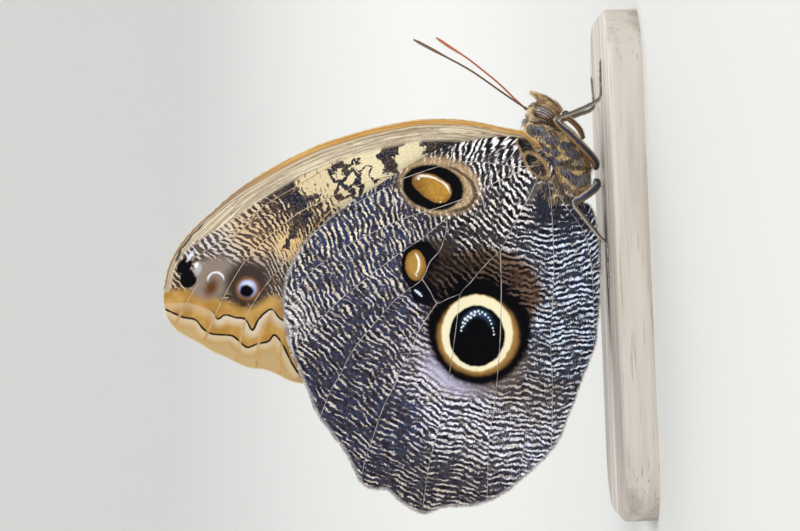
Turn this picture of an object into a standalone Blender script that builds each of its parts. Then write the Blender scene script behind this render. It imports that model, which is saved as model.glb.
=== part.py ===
"""Owl butterfly at rest, wings closed over its back, life size, on a plain flat stand.

The head points along +X, the wings rise along +Z and the insect's left is +Y.
Sizes below are millimetres in the butterfly's own frame, whose zero height is the
top of the stand. An empty carries that frame to its place on the stand.
"""
import math

import bmesh
import bpy
from mathutils import Matrix, Vector
from mathutils.geometry import delaunay_2d_cdt

MM = 0.001
GAP = 0.3

STAND_LENGTH = 91.0
STAND_WIDTH = 46.0
STAND_HEIGHT = 6.0
STAND_CORNER = 11.0
STAND_BEVEL = 0.8
BUTTERFLY_X = 12.0

WING_THICKNESS = 0.52
FOREWING_OUT = 0.58
HINDWING_OUT = 1.65
WING_FLARE = 3.4
FLARE_RISE = 8.0
WING_GRID = 4.6

# Outlines in side view as (x, height), from the wing root round the wing.
FOREWING = (
    (11.0, 12.6), (13.4, 15.4), (15.2, 22.0), (16.1, 29.2), (15.3, 38.4), (12.1, 51.2),
    (7.9, 61.9), (0.1, 72.6), (-6.1, 78.3), (-12.9, 80.6), (-17.3, 80.4), (-21.0, 77.8),
    (-24.8, 70.5), (-28.0, 63.4), (-31.0, 55.9), (-30.2, 50.2), (-19.8, 38.0),
    (-4.8, 22.9), (6.0, 12.2),
)
HINDWING = (
    (6.3, 10.8), (9.2, 12.1), (11.6, 14.9), (12.2, 19.4), (11.6, 25.4), (8.5, 33.2),
    (3.6, 43.4), (-2.5, 52.2), (-8.9, 57.2), (-15.7, 59.1), (-22.9, 58.5), (-30.5, 55.9),
    (-37.9, 53.3), (-43.5, 49.0), (-49.4, 46.0), (-50.9, 41.5), (-54.9, 35.0),
    (-54.2, 28.2), (-51.2, 20.3), (-45.4, 12.8), (-38.3, 8.3), (-28.5, 3.9), (-19.9, 2.0),
    (-11.2, 1.6), (-3.9, 2.7), (-0.9, 5.2), (2.4, 8.8),
)

# Body sections as (x, middle height, half height, half width).
THORAX = (
    (0.4, 7.0, 2.0, 1.6), (1.2, 7.2, 4.2, 3.1), (4.0, 8.0, 5.7, 3.8), (7.5, 8.3, 6.0, 4.1),
    (11.0, 9.1, 5.1, 3.8), (13.4, 9.9, 3.8, 3.1), (14.4, 10.1, 2.4, 2.0),
)
ABDOMEN = (
    (-21.5, 4.2, 0.7, 0.6), (-20.0, 4.3, 1.5, 1.3), (-16.0, 4.6, 2.1, 2.0),
    (-10.0, 5.1, 2.6, 2.5), (-4.0, 5.9, 3.1, 2.8), (-1.0, 6.5, 3.2, 2.6),
    (-0.25, 6.8, 2.2, 1.8),
)
HEAD = (
    (15.2, 10.5, 1.7, 1.6), (15.5, 10.6, 2.4, 2.2), (16.2, 10.8, 2.6, 2.55),
    (16.95, 11.0, 2.0, 2.1), (17.3, 11.1, 1.2, 1.4),
)

EYE_PLACE = (16.25, 2.05, 10.4)
EYE_HALF = (1.15, 1.15, 1.9)
EYE_TILT = math.radians(28)

# Routes as (x, outward, height, half thickness).
PALP = (
    (16.45, 0.95, 6.95, 0.4), (17.5, 0.92, 8.2, 0.5), (18.45, 0.88, 9.7, 0.62),
    (19.3, 0.84, 11.1, 0.5), (20.05, 0.78, 12.4, 0.28),
)
PALP_DEPTH = 1.4
PROBOSCIS_PLACE = (15.9, 0.0, 6.3)
PROBOSCIS_COIL = 0.95
PROBOSCIS_TUBE = 0.32

ANTENNA_RIGHT = (
    (17.1, 0.9, 13.4, 0.3), (18.9, 2.0, 16.0, 0.26), (20.6, 3.3, 18.4, 0.26),
    (24.2, 5.4, 23.4, 0.26), (27.0, 7.6, 28.3, 0.34), (29.9, 9.4, 33.5, 0.36),
)
ANTENNA_LEFT = (
    (17.1, 0.9, 13.4, 0.3), (19.4, 3.0, 15.5, 0.26), (22.3, 5.6, 18.0, 0.26),
    (25.1, 8.6, 20.8, 0.26), (27.8, 11.4, 23.7, 0.26), (30.1, 14.2, 26.6, 0.34),
    (32.1, 16.8, 29.0, 0.36),
)

# Each leg as its corners: hip, side of the thorax, knee, ankle, toe.
FOOT_HALF = 0.3
FOOT_HEIGHT = GAP + FOOT_HALF
FORELEG = (
    (11.4, 0.9, 3.3, 0.42), (13.2, 1.3, 4.0, 0.48), (14.9, 1.6, 5.6, 0.42),
    (15.4, 1.7, 6.9, 0.3),
)
MIDLEG_RIGHT = (
    (5.9, 1.0, 1.25, 0.5), (7.0, 2.6, 1.45, 0.75), (9.0, 4.2, 3.1, 0.85),
    (12.0, 5.0, 5.9, 0.8), (14.6, 5.4, 8.3, 0.5), (15.9, 6.2, 5.2, 0.42),
    (17.4, 7.4, 1.6, 0.36), (18.6, 8.3, FOOT_HEIGHT, FOOT_HALF),
    (21.0, 9.9, FOOT_HEIGHT, FOOT_HALF), (24.3, 11.8, FOOT_HEIGHT, FOOT_HALF),
)
MIDLEG_LEFT = (
    (5.9, 1.0, 1.25, 0.5), (7.2, 2.6, 1.4, 0.75), (9.6, 4.2, 2.9, 0.85),
    (12.3, 5.0, 4.9, 0.8), (14.8, 5.6, 6.8, 0.5), (15.9, 6.8, 4.2, 0.42),
    (16.8, 7.9, 1.5, 0.36), (17.8, 8.9, FOOT_HEIGHT, FOOT_HALF),
    (20.1, 10.8, FOOT_HEIGHT, FOOT_HALF), (23.0, 13.0, FOOT_HEIGHT, FOOT_HALF),
)
HINDLEG_RIGHT = (
    (3.6, 1.0, 1.3, 0.5), (2.7, 3.0, 1.35, 0.75), (1.3, 5.2, 3.0, 0.85),
    (0.3, 6.0, 4.7, 0.75), (-0.5, 6.3, 5.9, 0.5), (-3.0, 7.0, 4.3, 0.42),
    (-6.4, 7.9, 1.9, 0.36), (-8.3, 8.4, FOOT_HEIGHT, FOOT_HALF),
    (-11.5, 9.2, FOOT_HEIGHT, FOOT_HALF), (-15.6, 10.2, FOOT_HEIGHT, FOOT_HALF),
)
HINDLEG_LEFT = (
    (3.6, 1.0, 1.3, 0.5), (2.7, 3.0, 1.35, 0.75), (1.5, 5.3, 3.0, 0.85),
    (0.7, 6.2, 4.7, 0.75), (0.1, 6.6, 5.7, 0.5), (-2.2, 7.8, 4.1, 0.42),
    (-5.2, 9.2, 1.8, 0.36), (-7.0, 10.1, FOOT_HEIGHT, FOOT_HALF),
    (-10.0, 11.5, FOOT_HEIGHT, FOOT_HALF), (-13.8, 13.1, FOOT_HEIGHT, FOOT_HALF),
)

OCHRE = (0.30, 0.19, 0.09)
DARK_OCHRE = (0.16, 0.11, 0.07)
CREAM = (0.62, 0.48, 0.28)
SLATE = (0.13, 0.14, 0.19)
EYE_BROWN = (0.20, 0.13, 0.08)
RUST = (0.30, 0.09, 0.04)
LEG_GREY = (0.16, 0.14, 0.13)
PALE_WOOD = (0.50, 0.40, 0.28)


def clear_scene():
    for item in list(bpy.data.objects):
        bpy.data.objects.remove(item, do_unlink=True)


def material(name, colour, roughness):
    made = bpy.data.materials.new(name)
    made.use_nodes = True
    shader = made.node_tree.nodes["Principled BSDF"]
    shader.inputs["Base Color"].default_value = (*colour, 1.0)
    shader.inputs["Roughness"].default_value = roughness
    shader.inputs["Metallic"].default_value = 0.0
    return made


def object_from(name, mesh, parent, colour, roughness=0.8):
    mesh.materials.append(material(name, colour, roughness))
    mesh.shade_smooth()
    mesh.set_sharp_from_angle(angle=math.radians(50))
    made = bpy.data.objects.new(name, mesh)
    bpy.context.scene.collection.objects.link(made)
    made.parent = parent
    return made


def mesh_from(name, shape):
    """Turn a bmesh in millimetres into a mesh in metres with its faces pointing out."""
    bmesh.ops.recalc_face_normals(shape, faces=shape.faces)
    bmesh.ops.scale(shape, vec=(MM, MM, MM), verts=shape.verts)
    mesh = bpy.data.meshes.new(name)
    shape.to_mesh(mesh)
    shape.free()
    return mesh


def curve_value(before, start, end, after, t):
    """One number on a Catmull-Rom curve, t of the way from start to end."""
    linear = end - before
    square = 2 * before - 5 * start + 4 * end - after
    cube = 3 * (start - end) + after - before
    return 0.5 * (2 * start + linear * t + square * t * t + cube * t ** 3)


def smooth(points, steps, closed=False):
    """Points along a smooth curve through rows of numbers, steps of them for each span."""
    count = len(points)
    spans = count if closed else count - 1
    found = []
    for span in range(spans):
        if closed:
            rows = [points[(span + k) % count] for k in (-1, 0, 1, 2)]
        else:
            rows = [points[min(max(span + k, 0), count - 1)] for k in (-1, 0, 1, 2)]
        for step in range(steps):
            found.append([curve_value(*values, step / steps) for values in zip(*rows)])
    if not closed:
        found.append(list(points[-1]))
    return found


def cap(shape, ring, tip):
    """Close a ring of vertices with a fan to one point."""
    top = shape.verts.new(tip)
    for k, vertex in enumerate(ring):
        shape.faces.new((vertex, ring[(k + 1) % len(ring)], top))


def skin_rings(shape, rings):
    for one, two in zip(rings, rings[1:]):
        for k in range(len(one)):
            after = (k + 1) % len(one)
            shape.faces.new((one[k], one[after], two[after], two[k]))


def body_mesh(name, sections, steps=3, sides=20):
    """A rounded body through upright oval sections."""
    shape = bmesh.new()
    rows = smooth(sections, steps)
    rings = []
    for x, middle, half_height, half_width in rows:
        ring = []
        for k in range(sides):
            angle = 2 * math.pi * k / sides
            place = (x, half_width * math.sin(angle), middle + half_height * math.cos(angle))
            ring.append(shape.verts.new(place))
        rings.append(ring)
    skin_rings(shape, rings)
    lead = 0.25
    cap(shape, rings[0], (rows[0][0] - lead, 0, rows[0][1]))
    cap(shape, rings[-1], (rows[-1][0] + lead, 0, rows[-1][1]))
    return mesh_from(name, shape)


def limb_mesh(name, route, side, depth=1.0, steps=3, sides=8):
    """A tapering tube along a route. Depth stretches it in side view, across its run."""
    shape = bmesh.new()
    rows = smooth(route, steps)
    places = [Vector((x, side * out, height)) for x, out, height, _ in rows]
    rings = []
    for k, place in enumerate(places):
        run = (places[min(k + 1, len(places) - 1)] - places[max(k - 1, 0)]).normalized()
        across = Vector((0, 1, 0)).cross(run)
        if across.length < 0.1:
            across = Vector((0, 0, 1)).cross(run)
        across.normalize()
        outward = run.cross(across)
        half = rows[k][3]
        ring = []
        for s in range(sides):
            angle = 2 * math.pi * s / sides
            offset = across * math.cos(angle) * half * depth + outward * math.sin(angle) * half
            ring.append(shape.verts.new(place + offset))
        rings.append(ring)
    skin_rings(shape, rings)
    first = (places[0] - places[1]).normalized() * rows[0][3] * 0.6
    last = (places[-1] - places[-2]).normalized() * rows[-1][3] * 0.6
    cap(shape, rings[0], places[0] + first)
    cap(shape, rings[-1], places[-1] + last)
    return mesh_from(name, shape)


def fade(value, low, high):
    """0 at low, 1 at high, with a smooth rise between."""
    t = min(max((value - low) / (high - low), 0.0), 1.0)
    return t * t * (3 - 2 * t)


def flare(x, height):
    """How far the wings stand out from their closed place, round thorax and abdomen."""
    along = 0.2 + 0.55 * fade(x, -34, -14) + 0.25 * fade(x, -12, 3)
    above = max(height - 11.0, 0.0) / FLARE_RISE
    return WING_FLARE * along * math.exp(-above * above)


def inside(point, outline):
    x, y = point
    odd = False
    for k, (x1, y1) in enumerate(outline):
        x2, y2 = outline[k - 1]
        if (y1 > y) != (y2 > y) and x < (x2 - x1) * (y - y1) / (y2 - y1) + x1:
            odd = not odd
    return odd


def wing_points(outline):
    """The outline followed by a staggered grid of points well inside it."""
    points = list(outline)
    edge = [Vector(point) for point in outline]
    low = [min(p[k] for p in outline) for k in (0, 1)]
    high = [max(p[k] for p in outline) for k in (0, 1)]
    for row in range(int((high[1] - low[1]) / WING_GRID) + 1):
        for column in range(int((high[0] - low[0]) / WING_GRID) + 1):
            x = low[0] + (column + 0.5 * (row % 2)) * WING_GRID
            spot = Vector((x, low[1] + row * WING_GRID))
            near = min((spot - place).length for place in edge)
            if inside(spot, outline) and near > 0.6 * WING_GRID:
                points.append(tuple(spot))
    return points


def wing_mesh(name, control, out, side):
    """A thin curved sheet inside a smooth outline; a modifier gives it its thickness."""
    outline = [tuple(row) for row in smooth(control, 3, closed=True)]
    count = len(outline)
    edges = [(k, (k + 1) % count) for k in range(count)]
    vectors = [Vector(point) for point in wing_points(outline)]
    places, _, faces, *_ = delaunay_2d_cdt(vectors, edges, [], 1, 1e-5)
    shape = bmesh.new()
    corners = []
    for x, height in places:
        corners.append(shape.verts.new((x, side * (out + flare(x, height)), height)))
    for face in faces:
        shape.faces.new([corners[k] for k in face])
    return mesh_from(name, shape)


def make_wing(name, control, out, side, parent, colour):
    wing = object_from(name, wing_mesh(name, control, out, side), parent, colour)
    thick = wing.modifiers.new("Thickness", "SOLIDIFY")
    thick.thickness = WING_THICKNESS * MM
    thick.offset = 0
    return wing


def eye_mesh(name, side, grow=0.0):
    """One oval eye, or with grow the socket that it sits in."""
    shape = bmesh.new()
    bmesh.ops.create_uvsphere(shape, u_segments=16, v_segments=10, radius=1.0)
    sizes = [half + grow for half in EYE_HALF]
    bmesh.ops.scale(shape, vec=sizes, verts=shape.verts)
    turn = Matrix.Rotation(EYE_TILT, 3, "Y")
    bmesh.ops.rotate(shape, cent=(0, 0, 0), matrix=turn, verts=shape.verts)
    place = Vector((EYE_PLACE[0], side * EYE_PLACE[1], EYE_PLACE[2]))
    bmesh.ops.translate(shape, vec=place, verts=shape.verts)
    return mesh_from(name, shape)


def proboscis_mesh(name):
    """The tongue as a flat coil, rolled up under the head."""
    shape = bmesh.new()
    sides, turns = 8, 16
    rings = []
    for k in range(turns):
        angle = 2 * math.pi * k / turns
        out = Vector((math.cos(angle), 0, math.sin(angle)))
        centre = Vector(PROBOSCIS_PLACE) + out * (PROBOSCIS_COIL - PROBOSCIS_TUBE)
        ring = []
        for s in range(sides):
            turn = 2 * math.pi * s / sides
            offset = out * math.cos(turn) + Vector((0, math.sin(turn), 0))
            ring.append(shape.verts.new(centre + offset * PROBOSCIS_TUBE))
        rings.append(ring)
    skin_rings(shape, rings + rings[:1])
    return mesh_from(name, shape)


def stand_mesh(name):
    """A flat plate with round corners, its underside at height zero of the model."""
    shape = bmesh.new()
    across = STAND_LENGTH / 2 - STAND_CORNER
    depth = STAND_WIDTH / 2 - STAND_CORNER
    steps = 8
    corners = []
    for quarter, (x, y) in enumerate(((across, depth), (-across, depth),
                                      (-across, -depth), (across, -depth))):
        for step in range(steps + 1):
            angle = math.pi / 2 * (quarter + step / steps)
            place = (x + STAND_CORNER * math.cos(angle), y + STAND_CORNER * math.sin(angle), 0)
            corners.append(shape.verts.new(place))
    face = shape.faces.new(corners)
    raised = bmesh.ops.extrude_face_region(shape, geom=[face])
    top = [part for part in raised["geom"] if isinstance(part, bmesh.types.BMVert)]
    bmesh.ops.translate(shape, vec=(0, 0, STAND_HEIGHT), verts=top)
    rim = [edge for edge in shape.edges if all(abs(v.co.z - STAND_HEIGHT) < 1e-6 for v in edge.verts)]
    bmesh.ops.bevel(shape, geom=rim, offset=STAND_BEVEL, segments=2, profile=0.5, affect="EDGES")
    return mesh_from(name, shape)


def make_head(parent):
    head = object_from("head", body_mesh("head", HEAD, steps=3), parent, OCHRE)
    for side, word in ((-1, "right"), (1, "left")):
        socket = object_from(
            "socket_" + word, eye_mesh("socket_" + word, side, grow=GAP), parent, OCHRE
        )
        socket.hide_render = True
        socket.display_type = "WIRE"
        cut = head.modifiers.new("Socket " + word, "BOOLEAN")
        cut.operation = "DIFFERENCE"
        cut.object = socket


def make_limbs(parent):
    pairs = {
        "palp": (PALP, PALP, OCHRE, PALP_DEPTH),
        "antenna": (ANTENNA_RIGHT, ANTENNA_LEFT, RUST, 1.0),
        "foreleg": (FORELEG, FORELEG, DARK_OCHRE, 1.0),
        "midleg": (MIDLEG_RIGHT, MIDLEG_LEFT, LEG_GREY, 1.0),
        "hindleg": (HINDLEG_RIGHT, HINDLEG_LEFT, LEG_GREY, 1.0),
    }
    for word, (right, left, colour, depth) in pairs.items():
        for side, route, end in ((-1, right, "_right"), (1, left, "_left")):
            mesh = limb_mesh(word + end, route, side, depth=depth)
            object_from(word + end, mesh, parent, colour)


def make_wings(parent):
    for side, end in ((-1, "_right"), (1, "_left")):
        make_wing("forewing" + end, FOREWING, FOREWING_OUT, side, parent, CREAM)
        make_wing("hindwing" + end, HINDWING, HINDWING_OUT, side, parent, SLATE)


def main():
    clear_scene()
    butterfly = bpy.data.objects.new("butterfly", None)
    bpy.context.scene.collection.objects.link(butterfly)
    butterfly.location = (BUTTERFLY_X * MM, 0, STAND_HEIGHT * MM)
    object_from("stand_base", stand_mesh("stand_base"), None, PALE_WOOD, 0.5)
    object_from("thorax", body_mesh("thorax", THORAX), butterfly, DARK_OCHRE)
    object_from("abdomen", body_mesh("abdomen", ABDOMEN, steps=2), butterfly, DARK_OCHRE)
    make_head(butterfly)
    for side, end in ((-1, "_right"), (1, "_left")):
        object_from("eye" + end, eye_mesh("eye" + end, side), butterfly, EYE_BROWN, 0.25)
    object_from("proboscis", proboscis_mesh("proboscis"), butterfly, DARK_OCHRE)
    make_limbs(butterfly)
    make_wings(butterfly)


main()
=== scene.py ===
import math

import bmesh
import bpy
import numpy as np
from mathutils import Matrix, Vector
from mathutils.geometry import delaunay_2d_cdt
from mathutils.kdtree import KDTree


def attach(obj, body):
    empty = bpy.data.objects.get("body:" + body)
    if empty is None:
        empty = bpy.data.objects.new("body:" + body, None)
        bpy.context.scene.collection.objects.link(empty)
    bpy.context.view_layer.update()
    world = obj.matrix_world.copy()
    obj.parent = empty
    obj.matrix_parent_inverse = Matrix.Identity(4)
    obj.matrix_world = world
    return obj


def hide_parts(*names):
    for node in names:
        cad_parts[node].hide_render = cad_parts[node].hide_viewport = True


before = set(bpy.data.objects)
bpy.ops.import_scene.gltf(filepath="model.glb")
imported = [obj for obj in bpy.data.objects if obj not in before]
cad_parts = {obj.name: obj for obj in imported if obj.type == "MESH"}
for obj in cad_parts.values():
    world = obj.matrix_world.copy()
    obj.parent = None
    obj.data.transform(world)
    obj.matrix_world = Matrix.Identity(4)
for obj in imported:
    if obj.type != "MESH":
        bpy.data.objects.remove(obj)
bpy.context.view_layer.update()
mm = 0.001
fullTurn = 2 * math.pi

# How the photo's 800 by 531 frame lies on the plane of the closed wings
view = dict(pixel=0.1813, lean=math.atan(0.042), width=800, floorAt=(604.9, 200.0), centre=(400.0, 265.5),
            distance=520.0, sensor=36.0)
home = Vector((12.0, 0, 6.0))  # the butterfly's own zero, from the stand's middle, in mm


def fromPhoto(px, py):
    # Forward and up, in mm
    dx, dy = px - view["floorAt"][0], py - view["floorAt"][1]
    forward = (-math.sin(view["lean"]) * dx - math.cos(view["lean"]) * dy) * view["pixel"]
    up = (-math.cos(view["lean"]) * dx + math.sin(view["lean"]) * dy) * view["pixel"]
    return forward + home.x, up + home.z


def photoTrack(points):
    return np.array([fromPhoto(px, py) for px, py in points])


class Wire:
    # One socket of a node tree. Operators add Math nodes; node() adds any other node.
    def __init__(self, tree, socket=None):
        self.tree = tree
        self.socket = socket

    def node(self, kind, settings=None, inputs=None, out=0):
        made = self.tree.nodes.new(kind)
        for key, value in (settings or {}).items():
            setattr(made, key, value)
        for key, value in (inputs or {}).items():
            if isinstance(value, Wire):
                self.tree.links.new(value.socket, made.inputs[key])
            else:
                made.inputs[key].default_value = value
        return Wire(self.tree, made.outputs[out]) if made.outputs else None

    def math(self, operation, *values):
        return self.node("ShaderNodeMath", {"operation": operation}, dict(enumerate(values)))

    def vector(self, operation, *values, out=0):
        return self.node("ShaderNodeVectorMath", {"operation": operation}, dict(enumerate(values)), out)

    def __add__(self, other):
        return self.math("ADD", self, other)

    def __sub__(self, other):
        return self.math("SUBTRACT", self, other)

    def __rsub__(self, other):
        return self.math("SUBTRACT", other, self)

    def __mul__(self, other):
        return self.math("MULTIPLY", self, other)

    def __abs__(self):
        return self.math("ABSOLUTE", self)

    __radd__, __rmul__ = __add__, __mul__


def startMaterial(name):
    made = bpy.data.materials.new(name)
    made.use_nodes = True
    made.node_tree.nodes.clear()
    return made, Wire(made.node_tree)


def finishMaterial(wire, colour, roughness, specular=0.5, others=None):
    sockets = {"Base Color": colour, "Roughness": roughness, "Specular IOR Level": specular, **(others or {})}
    shader = wire.node("ShaderNodeBsdfPrincipled", {}, sockets)
    wire.node("ShaderNodeOutputMaterial", {}, {"Surface": shader})


def plainMaterial(name, colour, roughness):
    material, wire = startMaterial(name)
    finishMaterial(wire, (*colour, 1), roughness)
    return material


def placeOn(wire):
    return wire.node("ShaderNodeTexCoord", out="Object")


def part(vector, k):
    return vector.node("ShaderNodeSeparateXYZ", {}, {0: vector}, out=k)


def attribute(wire, name, out="Fac"):
    return wire.node("ShaderNodeAttribute", {"attribute_name": name}, out=out)


def noise(vector, scale, detail=2.0, roughness=0.5):
    sockets = {"Vector": vector, "Scale": scale, "Detail": detail, "Roughness": roughness}
    return vector.node("ShaderNodeTexNoise", {"noise_dimensions": "3D"}, sockets, out="Fac")


def stretched(vector, scale):
    return vector.node("ShaderNodeMapping", {}, {"Vector": vector, "Scale": scale})


def jitter(place, scale, size):
    # The place moved a little by noise, so that an outline isn't a clean curve
    sockets = {"Vector": place, "Scale": scale, "Detail": 2.0}
    shake = place.node("ShaderNodeTexNoise", {}, sockets, out="Color")
    shake = place.vector("SUBTRACT", shake, (0.5, 0.5, 0.5))
    shake = place.node("ShaderNodeVectorMath", {"operation": "SCALE"}, {0: shake, "Scale": size})
    return place.vector("ADD", place, shake)


def ramp(value, low, high, start=0.0, end=1.0):
    settings = {"interpolation_type": "SMOOTHSTEP", "clamp": True}
    ends = {"From Min": low, "From Max": high, "To Min": start, "To Max": end}
    return value.node("ShaderNodeMapRange", settings, {"Value": value, **ends})


def photoRamp(place, axis, start, end):
    # 0 to 1 between two of the photo's pixels, forward (axis 0) or up (axis 1)
    return ramp(part(place, 2 * axis), fromPhoto(*start)[axis] * mm, fromPhoto(*end)[axis] * mm)


def mix(share, one, two, blend="MIX"):
    wire = next(value for value in (share, one, two) if isinstance(value, Wire))
    settings = {"data_type": "RGBA", "blend_type": blend, "clamp_factor": True}
    one, two = [value if isinstance(value, Wire) else (*value, 1.0) for value in (one, two)]
    return wire.node("ShaderNodeMix", settings, {0: share, 6: one, 7: two}, out=2)


def times(one, two):
    return mix(1.0, one, two, "MULTIPLY")


def lay(colour, over, field, low, high, share=1.0):
    # A second colour over the first, from none of it where the field is low to its share where it is high
    return mix(ramp(field, low, high, 0.0, share), colour, over)


def bump(height, strength, distance):
    sockets = {"Strength": strength, "Distance": distance, "Height": height}
    return {"Normal": height.node("ShaderNodeBump", {}, sockets, out="Normal")}


def oval(place, centre, half, tilt=0.0):
    # Distance from a spot's middle, 1 on its oval outline. Tilt is degrees, clockwise in the photo.
    turn, lean = math.radians(tilt), view["lean"]
    across, down = np.array([-math.sin(lean), -math.cos(lean)]), np.array([-math.cos(lean), math.sin(lean)])
    axis = math.cos(turn) * across + math.sin(turn) * down
    x, z = fromPhoto(*centre)
    sizes = (half[0] * view["pixel"] * mm, 1000.0, half[1] * view["pixel"] * mm)
    sockets = {"Vector": place, "Location": (x * mm, 0, z * mm), "Scale": sizes,
               "Rotation": (0, math.atan2(-axis[1], axis[0]), 0)}
    local = place.node("ShaderNodeMapping", {"vector_type": "TEXTURE"}, sockets)
    return place.vector("LENGTH", local, out="Value")


def patches(place, rows):
    # Each row's field, the two ends of its soft edge, and its tone
    for px, py, wide, tall, tilt, soft, tone in rows:
        yield oval(place, (px, py), (wide, tall), tilt), 1 + soft / 2, 1 - soft, tone


# Lines through points, and distances from them
def smoothTrack(points, steps, closed=False):
    points = np.asarray(points, float)
    count = len(points)
    track = []
    for span in range(count if closed else count - 1):
        picked = [span + k for k in (-1, 0, 1, 2)]
        a, b, c, d = [points[k % count if closed else min(max(k, 0), count - 1)] for k in picked]
        for t in np.arange(steps) / steps:
            track.append(0.5 * (2 * b + (c - a) * t + (2 * a - 5 * b + 4 * c - d) * t * t
                                + (3 * b - a - 3 * c + d) * t ** 3))
    if not closed:
        track.append(points[-1])
    return np.array(track)


def evenTrack(points, gap, closed=False):
    fine = smoothTrack(points, 24, closed)
    if closed:
        fine = np.vstack([fine, fine[:1]])
    lengths = np.r_[0, np.cumsum(np.linalg.norm(np.diff(fine, axis=0), axis=1))]
    count = max(int(round(lengths[-1] / gap)), 2)
    places = np.linspace(0, lengths[-1], count + 1)
    even = np.column_stack([np.interp(places, lengths, fine[:, k]) for k in range(fine.shape[1])])
    return even[:-1] if closed else even


def nearest(track, spots):
    tree = KDTree(len(track))
    for k, point in enumerate(track):
        tree.insert((point[0], point[1], 0), k)
    tree.balance()
    found = [tree.find((x, z, 0)) for x, z in spots]
    return np.array([f[2] for f in found]), np.array([f[1] for f in found])


def fade(value, low, high):
    t = np.clip((value - low) / (high - low), 0, 1)
    return t * t * (3 - 2 * t)


# Small helpers for meshes and pieces
def link(name, data):
    made = bpy.data.objects.new(name, data)
    bpy.context.scene.collection.objects.link(made)
    return made


def meshFrom(name, work, unit=mm, smooth=True):
    bmesh.ops.recalc_face_normals(work, faces=work.faces)
    bmesh.ops.scale(work, vec=(unit,) * 3, verts=work.verts)
    mesh = bpy.data.meshes.new(name)
    work.to_mesh(mesh)
    work.free()
    if smooth:
        mesh.shade_smooth()
    return mesh


def evaluated(thing):
    mesh = bpy.data.meshes.new_from_object(thing.evaluated_get(bpy.context.evaluated_depsgraph_get()))
    mesh.name = thing.name
    thing.modifiers.clear()
    return mesh


def register(piece, nodes):
    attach(piece, "root")
    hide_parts(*nodes)


def makePiece(name, work, material, nodes):
    piece = link(name, meshFrom(name, work))
    piece.data.materials.append(material)
    register(piece, nodes)
    return piece


def read(items, key, width=1, kind=float):
    values = np.empty(len(items) * width, kind)
    items.foreach_get(key, values)
    return values.reshape(-1, width) if width > 1 else values


def store(mesh, name, values, domain="POINT"):
    values = np.asarray(values, np.float32)
    kind, key = ("FLOAT", "value") if values.ndim == 1 else ("FLOAT_VECTOR", "vector")
    mesh.attributes.new(name, kind, domain).data.foreach_set(key, values.ravel())


def unwrap(mesh, flat):
    # Each vertex's place on the unwrap, given to every face corner that meets it
    corners = read(mesh.loops, "vertex_index", 1, np.int32)
    mesh.uv_layers.new(name="OFBake").data.foreach_set("uv", flat[corners].astype(np.float32).ravel())


def joinRings(work, rings, tip=None):
    # Faces between rings of points, closed at both ends or drawn to a tip
    count = len(rings[0])
    for one, two in zip(rings, rings[1:]):
        for k in range(count):
            work.faces.new((one[k], one[(k + 1) % count], two[(k + 1) % count], two[k]))
    work.faces.new(rings[0][::-1])
    if tip is None:
        work.faces.new(rings[-1])
        return
    for k in range(count):
        work.faces.new((rings[-1][k], rings[-1][(k + 1) % count], tip))


# Wing shapes
# Half thicknesses at a wing's middle and rim, how far out each pair is, and how its lower part flares, in mm
wingForm = dict(spacing=0.36, middle=0.11, rim=0.045, foreOut=0.58, hindOut=1.65, flare=3.4, rise=8.0,
                ridge=0.07)
hindOutline = [
    (548, 160), (536, 147), (522, 138.5), (500, 137), (480, 139), (460, 143), (440, 149), (420, 159),
    (400, 171), (380, 184), (360, 196), (340, 211), (325, 224), (310, 238), (300, 250), (292, 265),
    (286, 280), (283.5, 300), (284.5, 315), (288, 338), (292, 352), (298, 366), (304, 381), (310, 394),
    (314, 406), (320, 418), (327, 426), (335, 438), (342, 446), (350, 460), (356, 472), (361, 482),
    (367, 487), (376, 489.5), (386, 489), (395, 496), (402, 502), (411, 508), (420, 512), (427, 513),
    (435, 510), (443, 507), (455, 506), (475, 505), (490, 500), (505, 492), (520, 480), (540, 462),
    (549, 452), (558, 440), (566, 420), (574, 400), (581, 380), (588, 362), (592, 352), (595, 340),
    (597, 320), (598.5, 300), (599, 270), (598, 250), (595, 225), (590, 208), (577, 200), (562, 190),
]
foreOutline = [
    (545, 160), (538, 143), (530, 137), (523, 131), (515, 129.5), (500, 126.5), (480, 122), (460, 119),
    (440, 118.3), (420, 119), (400, 122), (380, 126), (360, 131), (340, 137), (320, 143.5), (300, 152.5),
    (280, 162.5), (260, 174), (240, 187), (225, 199), (210, 212.5), (200, 221), (190, 231), (180, 243),
    (172, 256), (166, 271), (163.5, 285), (162.5, 300), (165, 314), (170, 324), (178, 332), (188, 338),
    (200, 344.5), (212, 352), (225, 357.5), (238, 364), (250, 368.5), (264, 370), (277, 375), (290, 381.5),
    (303, 384), (320, 383), (350, 362), (400, 318), (480, 232), (530, 175),
]
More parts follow.
